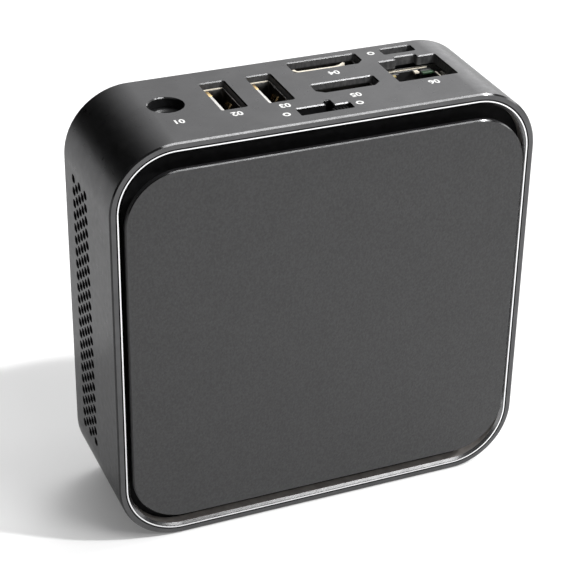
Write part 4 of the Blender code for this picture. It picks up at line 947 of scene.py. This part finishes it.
def build_video_sockets():
    moulding, ivory, gold = range(3)
    lip = mouth()
    corner = settings().sockets.corner
    for name, points, outside, bar, rise, bends in VIDEO_SOCKETS:
        _, _, (low, _) = limits(name + "_shell")
        size = mm(*outside)
        inner = softened(points([value - VIDEO_SHEETS * MM for value in size]), corner / 2)
        outer = softened(points(size), corner)
        mesh = bmesh.new()
        sleeve(mesh, inner, outer, low, lip)
        # The long shells are painted shade all over: steel made nearly black
        piece(name, mesh, ["dark_steel"], [name + "_shell"])

        across, (front, back), (foot, _) = limits(name + "_tongue")
        mesh = bmesh.new()
        soft_box(mesh, across, moved((front, back), VIDEO_BODY_DEPTH),
                 moved((foot, lip), VIDEO_BODY_HEIGHT), edge=0.2 * MM, finish=moulding)
        path = shifted(bends, (front + back) / 2, across[0])
        ribbon(mesh, "Z", path, past(lip, VIDEO_BAR_FOOT, rise), thick=bar * MM, finish=ivory)
        for spot in spread(across, VIDEO_CONTACTS, VIDEO_MARGIN):
            for face in (past(front, *VIDEO_CONTACT_FRONT), past(back, *VIDEO_CONTACT_BACK)):
                soft_box(mesh, astride(spot, VIDEO_CONTACT_HALF), face,
                         moved((foot, lip), VIDEO_CONTACT_HEIGHT), edge=0.04 * MM, finish=gold)
        piece(name + "_blade", mesh, ("black_moulding", "ivory_bar", "contact_gold"),
              [name + "_tongue"])


def build_network_socket():
    (left, right), (front, back), (low, high) = limits("network_socket_can")
    across, depth, _ = middle("network_socket_can")
    sheet = NETWORK_SHEET * MM
    size = (right - left, back - front)
    hollow_corner, corner = mm(*CAN_CORNERS)
    inner = softened(rectangle([value - 2 * sheet for value in size], (across, depth)), hollow_corner)
    outer = softened(rectangle(size, (across, depth)), corner)
    mesh = bmesh.new()
    sleeve(mesh, inner, outer, low, high)
    spring = shifted(NETWORK_SPRING, high, right - sheet)
    ribbon(mesh, "Y", spring, past(depth, *NETWORK_SPRING_DEPTH), thick=0.25 * MM)
    piece("network_can", mesh, ["socket_steel"], ["network_socket_can"])

    sides, (front, back), (low, high) = limits("network_socket_insert")
    mesh = bmesh.new()
    soft_box(mesh, moved(sides, INSERT_ACROSS), (front, back), (low, high), edge=0.2 * MM,
             finish=MOULDING)
    cutter = bmesh.new()
    edge, reach = mm(NETWORK_HOLLOW_EDGE, NETWORK_HOLLOW_DEPTH)
    hollow = cut_shape(network_points(*[mm(*size) for size in NETWORK_HOLLOW]), edge)
    bevelled_cut(cutter, "Z", hollow, high, 1, edge, reach, MOULDING)
    mesh = carve(mesh, cutter, ["black_moulding"])
    for low_u, high_u, low_v, high_v, number in NETWORK_TABS:
        soft_box(mesh, mm(low_u, high_u), mm(low_v, high_v), past(high, *NETWORK_TAB_HEIGHT),
                 edge=0.12 * MM, finish=number)
    soft_box(mesh, mm(*NETWORK_BAR), past(back, *NETWORK_BAR_DEPTH), past(high, *NETWORK_BAR_HEIGHT),
             edge=0.08 * MM, finish=PAINTED_GLINT)
    piece("network_insert", mesh, NETWORK_FINISHES, ["network_socket_insert"])

    _, (front, _), (low, high) = limits("network_contacts")
    mesh = bmesh.new()
    path = shifted(WIRE_FOOT, low, front) + shifted(WIRE_BENDS, high, front)
    for spot in in_row(WIRES, WIRE_PITCH, across):
        ribbon(mesh, "X", path, astride(spot, WIRE_HALF), thick=0.2 * MM)
    soft_box(mesh, astride(across, WIRE_BAR_HALF), past(front, *WIRE_BAR_DEPTH),
             past(low, *WIRE_BAR_HEIGHT), edge=0.1 * MM)
    piece("network_wires", mesh, ["contact_gold"], ["network_contacts"])


# Latch: heights of its plate and of the seat in it, limits and ribs of its knob, and limits of the catch
# under it

LATCH_PLATE = (108.0, 109.2)
LATCH_SEAT = 0.3
KNOB_ACROSS = (2.7, 7.1)
KNOB_DEPTH = (5.4, 6.75)
KNOB_HEIGHT = (0.0, -0.25)
KNOB_RIBS = 5
RIB_MARGIN = 0.5
RIB_HALF = 0.28
RIB_HEIGHT = (-0.6, 0.0)
CATCH_ACROSS = (2.7, 5.7)
CATCH_DEPTH = (5.4, 6.8)


def build_latch():
    (left, right), (front, back), (low, high) = limits("lid_latch")
    plate, knob, knob_depth = mm(*LATCH_PLATE), mm(*KNOB_ACROSS), mm(*KNOB_DEPTH)
    seat = plate[0] + LATCH_SEAT * MM
    mesh = bmesh.new()
    soft_box(mesh, (left, right), (front, back), plate, edge=0.2 * MM)
    soft_box(mesh, knob, knob_depth, moved((seat, high), KNOB_HEIGHT), edge=0.15 * MM)
    for spot in spread(knob, KNOB_RIBS, RIB_MARGIN):
        soft_box(mesh, astride(spot, RIB_HALF), knob_depth, past(high, *RIB_HEIGHT), edge=0.12 * MM)
    soft_box(mesh, mm(*CATCH_ACROSS), mm(*CATCH_DEPTH), (low, seat), edge=0.2 * MM)
    piece("latch_slider", mesh, ["tray_black"], ["lid_latch"], "latch")


# Far side

GRILLE_PITCH = (4.0, 5.0)
GRILLE_BEVEL = 0.25
GRILLE_REACH = 4.0
# Outer edge of the cover, as inset and drop
COVER_EDGE = ((0.0, 0.25), (0.07, 0.07), (0.25, 0.0))
# Hollows in the cover, as radii and places from its face: for a foot, for a screw, and round the grille
FOOT_WELL = ((6.35, 0.5), (6.35, -0.25))
SCREW_WELL = ((3.2, 0.5), (2.7, -0.4), (2.7, -1.7), (1.55, -1.7))
SCREW_BORE = ((1.55, -1.0),)
GRILLE_RING = ((30.0, 0.3), (30.0, -0.3), (29.2, -0.3), (29.2, 0.3))
RING_STEPS = 96
# Shallow bare recess: its place across, and size, corner and place of its mouth and its floor
RECESS_ACROSS = 34.0
RECESS = ((25.6, 39.6, 2.3, 0.5), (25.0, 39.0, 2.0, -0.3))
RECESS_STEPS = 6
# Feet and screws, as radii and places from either end
FOOT_STEM = ((1.8, 0.0),)
FOOT_FLANGE = ((1.8, 36.7), (6.0, 36.7))
FOOT_SOLE = ((6.0, -0.45), (5.85, -0.15), (5.5, 0.0), (4.4, 0.0), (4.2, -0.3), (3.9, -0.3), (3.7, 0.0),
             (1.6, 0.0), (1.4, -0.3), (0.4, -0.3))
FOOT_STEPS = 48
SCREW_TIP = ((0.8, 0.0), (1.25, 0.5))
SCREW_HEAD = ((1.25, -1.4), (2.4, -1.4), (2.4, -0.6), (2.2, -0.25), (1.7, -0.05), (0.9, 0.0))
SCREW_STEPS = 32
SCREW_DRIVE = ((1.35, 0.24), (0.24, 1.35))
SCREW_DRIVE_DEPTH = (-0.8, 0.4)


def build_cover():
    size = settings().cover
    _, (front, back), (low, _) = limits("bottom_cover")
    fan_x, _, fan_z = middle("fan_shaft")
    mesh = bmesh.new()
    edge = [(shell_outline(low + inset * MM), back - drop * MM) for inset, drop in COVER_EDGE]
    loft(mesh, "Y", [(shell_outline(low), front), *edge])
    cutter = bmesh.new()
    for place in lattice(size.columns, size.rows, mm(*GRILLE_PITCH), (fan_x, fan_z)):
        slot = slot_shape(size.slot_width, size.slot_height, place)
        bevelled_cut(cutter, "Y", slot, back, 1, GRILLE_BEVEL * MM, GRILLE_REACH * MM, 0)
    for place in spots("rubber_foot"):
        turned(cutter, "Y", place, shifted(FOOT_WELL, back))
    for place in spots("cover_screw"):
        turned(cutter, "Y", place, shifted(SCREW_WELL, back) + shifted(SCREW_BORE, front))
    recess = (RECESS_ACROSS * MM, fan_z)
    loft(cutter, "Y", [(rounded(*mm(width, height, corner), recess, RECESS_STEPS), back + along * MM)
                       for width, height, corner, along in RECESS])
    turned(cutter, "Y", (fan_x, fan_z), shifted(GRILLE_RING, back), ring=True, steps=RING_STEPS)
    mesh = carve(mesh, cutter, ["black_moulding"])
    piece("cover", mesh, ["black_moulding"], ["bottom_cover"])

    for number, place in enumerate(spots("rubber_foot"), 1):
        _, (inner, sole), _ = limits(f"rubber_foot_{number}")
        mesh = bmesh.new()
        profile = shifted(FOOT_STEM, inner) + shifted(FOOT_FLANGE, 0.0) + shifted(FOOT_SOLE, sole)
        turned(mesh, "Y", place, profile, steps=FOOT_STEPS)
        piece(f"foot_{number}", mesh, ["foot_rubber"], [f"rubber_foot_{number}"])
    for number, place in enumerate(spots("cover_screw"), 1):
        build_screw(number, place)


def build_screw(number, place):
    """Pan head screw with a cross drive, its head towards the far side."""
    node = f"cover_screw_{number}"
    _, (tip, head), _ = limits(node)
    mesh = bmesh.new()
    turned(mesh, "Y", place, shifted(SCREW_TIP, tip) + shifted(SCREW_HEAD, head), steps=SCREW_STEPS)
    for across, up in SCREW_DRIVE:
        cutter = bmesh.new()
        soft_box(cutter, astride(place[0], across), past(head, *SCREW_DRIVE_DEPTH),
                 astride(place[1], up), edge=0.08 * MM)
        mesh = carve(mesh, cutter, ["screw_steel"])
    piece(f"far_screw_{number}", mesh, ["screw_steel"], [node])


# Button and light, as radii and places from either end or from the floor, and limits of the light's head
# from its upper end

BUTTON_FACE = ((0.3, 0.32), (1.4, 0.26), (2.3, 0.12), (2.7, 0.0), (3.3, 0.0), (3.55, 0.12), (3.6, 0.3))
BUTTON_COLLAR = ((3.6, 2.8), (4.4, 2.8), (4.4, 4.0), (1.5, 4.0))
BUTTON_STEM = ((1.5, 0.0),)
BUTTON_STRIPS = (0, 0, 0, 1, 1, 0, 0, 0, 0, 0, 0)
BUTTON_STEPS = 48
PIPE_FACE = ((0.35, 0.0), (0.75, 0.08), (1.0, 0.3))
PIPE_NECK = ((1.0, -3.1),)
PIPE_HEAD = (-3.0, 0.0)


def build_button():
    across, depth, _ = middle("power_button")
    _, _, (low, high) = limits("power_button")
    profile = shifted(BUTTON_FACE, low) + shifted(BUTTON_COLLAR, 0.0) + shifted(BUTTON_STEM, high)
    mesh = bmesh.new()
    turned(mesh, "Z", (across, depth), profile, BUTTON_STRIPS, steps=BUTTON_STEPS)
    piece("button", mesh, ("lid_grain", "polished_metal"), ["power_button"], "button")

    sides, depths, (low, high) = limits("status_light_pipe")
    spot = (middle("status_light_pipe")[0], depth)
    mesh = bmesh.new()
    profile = shifted(PIPE_FACE, low) + shifted(PIPE_NECK, high)
    turned(mesh, "Z", spot, profile, steps=SMALL_ROUND_STEPS)
    soft_box(mesh, sides, depths, past(high, *PIPE_HEAD), edge=0.3 * MM)
    piece("light_pipe", mesh, ["clear_lens"], ["status_light_pipe"])


# Marks: numbers and rings with their places across and behind the rim

MARKS = (("01", -34.8, 11.0), ("02", -20.3, 10.4), ("03", -7.9, 10.7), ("04", 11.2, 24.8),
         ("05", 10.8, 10.6), ("06", 32.3, 11.0))
MARK_SIZE = 2.9
MARK_WEIGHT = 0.09
INK = 0.012
RINGS = ((-9.4, 5.7), (9.8, 5.9), (25.0, 32.7))
RING_RADII = (0.5, 1.0)


def build_marks():
    """Numbers and rings on the upper side, printed to be read from behind."""
    mesh = bmesh.new()
    thick = INK * MM
    for text, across, depth in MARKS:
        words = bpy.data.curves.new("number", "FONT")
        words.body = text
        words.size = MARK_SIZE * MM
        words.extrude = thick
        words.offset = MARK_WEIGHT * MM
        words.align_x = "CENTER"
        words.align_y = "CENTER"
        holder = bpy.data.objects.new("number", words)
        bpy.context.scene.collection.objects.link(holder)
        place = Matrix.Translation(at(across * MM, depth * MM, HEIGHT + thick))
        holder.matrix_world = place @ Matrix.Rotation(math.pi, 4, "Z")
        graph = bpy.context.evaluated_depsgraph_get()
        data = bpy.data.meshes.new_from_object(holder.evaluated_get(graph))
        data.transform(holder.matrix_world)
        mesh.from_mesh(data)
        bpy.data.objects.remove(holder)
        bpy.data.curves.remove(words)
        bpy.data.meshes.remove(data)
    inner, outer = mm(*RING_RADII)
    top = HEIGHT + 2 * thick
    section = [(inner, HEIGHT), (inner, top), (outer, top), (outer, HEIGHT)]
    for across, depth in RINGS:
        turned(mesh, "Z", mm(across, depth), section, ring=True)
    piece("port_marks", mesh, ["print_white"])


# Inner pieces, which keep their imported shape

INNER_FINISHES = {
    "black_moulding": ("latch_guide", "video_socket_carrier", "power_switch_base", "blower_housing",
                       "fan_rotor", "memory_socket", "storage_socket", "wireless_socket",
                       "coin_cell_holder"),
    "foot_rubber": ("power_switch_plunger", "fan_lead", "antenna_lead"),
    "screw_steel": ("board_screw_1", "board_screw_2", "board_screw_3", "board_screw_4", "storage_screw"),
    # The blower cover behind the grille is painted shade as well
    "dark_steel": ("blower_cover",),
    "socket_steel": ("fan_shaft", "fan_bearing"),
    "cell_steel": ("coin_cell",),
    "pipe_copper": ("heat_spreader", "heat_pipe_1", "heat_pipe_2", "antenna"),
    "coil_copper": ("motor_coil",),
    "fin_aluminium": ("fin_stack",),
    "board_lacquer": ("mainboard",),
}
# Cards of two layers: name, node, which of its sides the joint is measured from, distance from that
# side, and colours in front of the joint and behind it
FRONT, BACK = range(2)
LAYERS = (
    ("memory_layers", "memory_module", BACK, -1.05, "rubber", "board"),
    ("storage_layers", "storage_module", BACK, -0.85, "rubber", "board"),
    ("wireless_layers", "wireless_card", FRONT, 0.85, "board", "rubber"),
    ("chip_layers", "processor", FRONT, 1.05, "board", "silicon"),
)


def layered(name, depth, front, back):
    """Board with one colour in front of a depth and another behind it."""
    look = Look(name, settings().colours.board, 0.4)
    parts = look.node("ShaderNodeSeparateXYZ", {"Vector": look.place})
    look.shade(look.combined("GREATER_THAN", parts.outputs["Y"], RIM + depth), front, back, LAYER_SPAN)
    look.relief(look.noise(0.5, 3.0), 0.02)
    return look.material


def finish_inner_pieces():
    colours = settings().colours
    looks = {node: material(name) for name, nodes in INNER_FINISHES.items() for node in nodes}
    for name, node, side, step, front, back in LAYERS:
        joint = limits(node)[1][side] + step * MM
        looks[node] = layered(name, joint, getattr(colours, front), getattr(colours, back))
    for node, look in looks.items():
        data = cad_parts[node].data
        data.materials.clear()
        data.materials.append(look)


# Stage, with places and sizes in metres

FLOOR_SIZE = 8.0
FLOOR_DROP = 0.05 * MM
FLOOR_LIFT = 0.12
WHITE = (1.0, 1.0, 1.0, 1.0)
UP = (0.0, 0.0, 1.0)
# Parts of the world's light: direction, cosines where the change starts and ends, and values there
SKY = (UP, -0.1, 0.9, 0.16, 0.32)
DARK_SIDE = ((-0.62, 0.72, 0.30), 0.5, 0.9, 1.0, 0.04)
BRIGHT_SIDE = ((0.75, 0.62, 0.22), 0.40, 1.0, 0.0, 1.5)
BRIGHT_SPOT = ((0.6, 0.78, 0.05), 0.90, 1.0, 0.0, 2.0)
KEY_DIRECTION = (0.602, -0.367, 0.709)
KEY_SPREAD = math.radians(2.5)
# Soft lights: name, direction, distance, direction of the width, and size
SOFT_LIGHTS = (
    ("overhead", (0.379, -0.397, 0.836), 1.391, (0.88, 0.25, -0.39), (1.2, 0.075)),
    ("front", (0.459, -0.706, 0.54), 1.2, (1.0, 0.0, 0.0), (0.5, 0.16)),
    ("rear", (0.35, 0.45, 0.82), 1.3, (1.0, 0.0, 0.0), (0.5, 0.5)),
    ("side", (0.93, -0.08, 0.36), 1.2, (0.0, 1.0, 0.0), (0.15, 0.6)),
)
CAMERA_TARGET = mm(-1.37, 3.67, 54.25)
SENSOR_WIDTH = 36.0


def build_floor():
    mesh = bmesh.new()
    bmesh.ops.create_grid(mesh, x_segments=1, y_segments=1, size=FLOOR_SIZE / 2)
    floor = linked("floor", mesh, ())
    floor.location.z = -FLOOR_DROP
    sockets = {"Specular IOR Level": 0.0, "Emission Color": WHITE}
    look = Look("pale_floor", settings().stage.floor, 0.9, **sockets)
    path = look.nodes.new("ShaderNodeLightPath").outputs
    seen = path["Is Camera Ray"]
    for kind in ("Is Glossy Ray", "Is Transmission Ray"):
        seen = look.combined("ADD", seen, path[kind])
    lift = look.node("ShaderNodeMapRange", {"Value": seen, "To Max": FLOOR_LIFT}).outputs["Result"]
    look.links.new(lift, look.shader.inputs["Emission Strength"])
    floor.data.materials.append(look.material)


def facing(world, direction, start, end, low, high):
    """Smooth value of the world that runs from low to high as a ray turns towards a direction."""
    place = world.nodes.new("ShaderNodeTexCoord").outputs["Generated"]
    dot = world.node("ShaderNodeVectorMath", {0: place, 1: Vector(direction).normalized()},
                     operation="DOT_PRODUCT")
    inputs = {"Value": dot.outputs["Value"], "From Min": start, "From Max": end, "To Min": low,
              "To Max": high}
    return world.node("ShaderNodeMapRange", inputs, interpolation_type="SMOOTHSTEP").outputs["Result"]


def build_world():
    data = bpy.data.worlds.new("studio")
    bpy.context.scene.world = data
    data.use_nodes = True
    world = Nodes(data.node_tree)
    shaded = world.combined("MULTIPLY", facing(world, *SKY), facing(world, *DARK_SIDE))
    lit = world.combined("ADD", facing(world, *BRIGHT_SIDE), facing(world, *BRIGHT_SPOT))
    background = world.nodes["Background"].inputs
    world.links.new(world.combined("ADD", shaded, lit), background["Strength"])
    background["Color"].default_value = WHITE


def lamp(name, kind, energy):
    made = bpy.data.objects.new(name, bpy.data.lights.new(name, kind))
    made.data.energy = energy
    bpy.context.scene.collection.objects.link(made)
    return made


def build_lights():
    """Distant key light, and soft lights that face the object from their directions."""
    stage = settings().stage
    key = lamp("key", "SUN", stage.key)
    key.data.angle = KEY_SPREAD
    key.rotation_euler = Vector(KEY_DIRECTION).to_track_quat("Z", "Y").to_euler()
    for name, direction, distance, along, size in SOFT_LIGHTS:
        soft = lamp(name, "AREA", getattr(stage, name))
        soft.data.shape = "RECTANGLE"
        soft.data.size, soft.data.size_y = size
        way = Vector(direction).normalized()
        across = way.cross(Vector(along)).cross(way).normalized()
        soft.location = Vector((0.0, 0.0, HEIGHT / 2)) + way * distance
        soft.rotation_euler = Matrix((across, way.cross(across), way)).transposed().to_euler()


def build_camera():
    stage = settings().stage
    data = bpy.data.cameras.new("camera")
    data.lens = stage.lens
    data.sensor_width = SENSOR_WIDTH
    camera = bpy.data.objects.new("camera", data)
    back = Vector((math.sin(stage.azimuth) * math.cos(stage.elevation),
                   -math.cos(stage.azimuth) * math.cos(stage.elevation), math.sin(stage.elevation)))
    right = Vector(UP).cross(back).normalized()
    turn = Matrix((right, back.cross(right), back)).transposed() @ Matrix.Rotation(stage.roll, 3, "Z")
    place = Vector(CAMERA_TARGET) + back * stage.distance
    camera.matrix_world = Matrix.Translation(place) @ turn.to_4x4()
    bpy.context.scene.collection.objects.link(camera)
    bpy.context.scene.camera = camera


# Operators

class COMPUTER_OT_shell(Operator):
    """Model the metal frame with its rim, cut-outs and slots"""
    bl_idname = "computer.shell"
    bl_label = "Shell"

    def execute(self, context):
        build_shell()
        return {"FINISHED"}


class COMPUTER_OT_lid(Operator):
    """Model the textured plate and the tray that carries it"""
    bl_idname = "computer.lid"
    bl_label = "Lid"

    def execute(self, context):
        build_lid()
        return {"FINISHED"}


class COMPUTER_OT_power_inlet(Operator):
    """Model the round power inlet with its pin and spring"""
    bl_idname = "computer.power_inlet"
    bl_label = "Power inlet"

    def execute(self, context):
        build_power_inlet()
        return {"FINISHED"}


class COMPUTER_OT_data_sockets(Operator):
    """Model the two upright sockets with their blades and springs"""
    bl_idname = "computer.data_sockets"
    bl_label = "Data sockets"

    def execute(self, context):
        build_data_sockets()
        return {"FINISHED"}


class COMPUTER_OT_video_sockets(Operator):
    """Model the two long sockets with their blades and contacts"""
    bl_idname = "computer.video_sockets"
    bl_label = "Video sockets"

    def execute(self, context):
        build_video_sockets()
        return {"FINISHED"}


class COMPUTER_OT_network_socket(Operator):
    """Model the square socket with its can, insert, lamps and wires"""
    bl_idname = "computer.network_socket"
    bl_label = "Network socket"

    def execute(self, context):
        build_network_socket()
        return {"FINISHED"}


class COMPUTER_OT_latch(Operator):
    """Model the ribbed slider behind the split slot"""
    bl_idname = "computer.latch"
    bl_label = "Latch"

    def execute(self, context):
        build_latch()
        return {"FINISHED"}


class COMPUTER_OT_cover(Operator):
    """Model the far cover with its grille, feet and screws"""
    bl_idname = "computer.cover"
    bl_label = "Far cover"

    def execute(self, context):
        build_cover()
        return {"FINISHED"}


class COMPUTER_OT_button(Operator):
    """Model the power button and the light beside it"""
    bl_idname = "computer.button"
    bl_label = "Button and light"

    def execute(self, context):
        build_button()
        return {"FINISHED"}


class COMPUTER_OT_marks(Operator):
    """Print the numbers and rings beside the sockets"""
    bl_idname = "computer.marks"
    bl_label = "Marks"

    def execute(self, context):
        build_marks()
        return {"FINISHED"}


class COMPUTER_OT_inner_pieces(Operator):
    """Give the boards, cooler, blower, cards and leads their finishes"""
    bl_idname = "computer.inner_pieces"
    bl_label = "Inner pieces"

    def execute(self, context):
        finish_inner_pieces()
        return {"FINISHED"}


class COMPUTER_OT_stage(Operator):
    """Set up the floor, the lights and the camera"""
    bl_idname = "computer.stage"
    bl_label = "Stage"

    def execute(self, context):
        build_floor()
        build_world()
        build_lights()
        build_camera()
        context.scene.view_settings.view_transform = "Standard"
        return {"FINISHED"}


OPERATORS = (
    COMPUTER_OT_shell, COMPUTER_OT_lid, COMPUTER_OT_power_inlet, COMPUTER_OT_data_sockets,
    COMPUTER_OT_video_sockets, COMPUTER_OT_network_socket, COMPUTER_OT_latch, COMPUTER_OT_cover,
    COMPUTER_OT_button, COMPUTER_OT_marks, COMPUTER_OT_inner_pieces, COMPUTER_OT_stage,
)


class COMPUTER_PT_pieces(Panel):
    """List the pieces of the computer"""
    bl_idname = "COMPUTER_PT_pieces"
    bl_label = "Square computer"
    bl_space_type = "VIEW_3D"
    bl_region_type = "UI"
    bl_category = "Computer"

    def draw(self, context):
        for operator in OPERATORS:
            self.layout.operator(operator.bl_idname)


CLASSES = (ShellSettings, LidSettings, SocketSettings, CoverSettings, ColourSettings, StageSettings,
           ComputerSettings, *OPERATORS, COMPUTER_PT_pieces)


def register():
    for made in CLASSES:
        bpy.utils.register_class(made)
    bpy.types.Scene.computer = PointerProperty(type=ComputerSettings)


def unregister():
    del bpy.types.Scene.computer
    for made in reversed(CLASSES):
        bpy.utils.unregister_class(made)


def main():
    register()
    for operator in OPERATORS:
        group, name = operator.bl_idname.split(".")
        getattr(getattr(bpy.ops, group), name)()


if __name__ == "__main__":
    main()
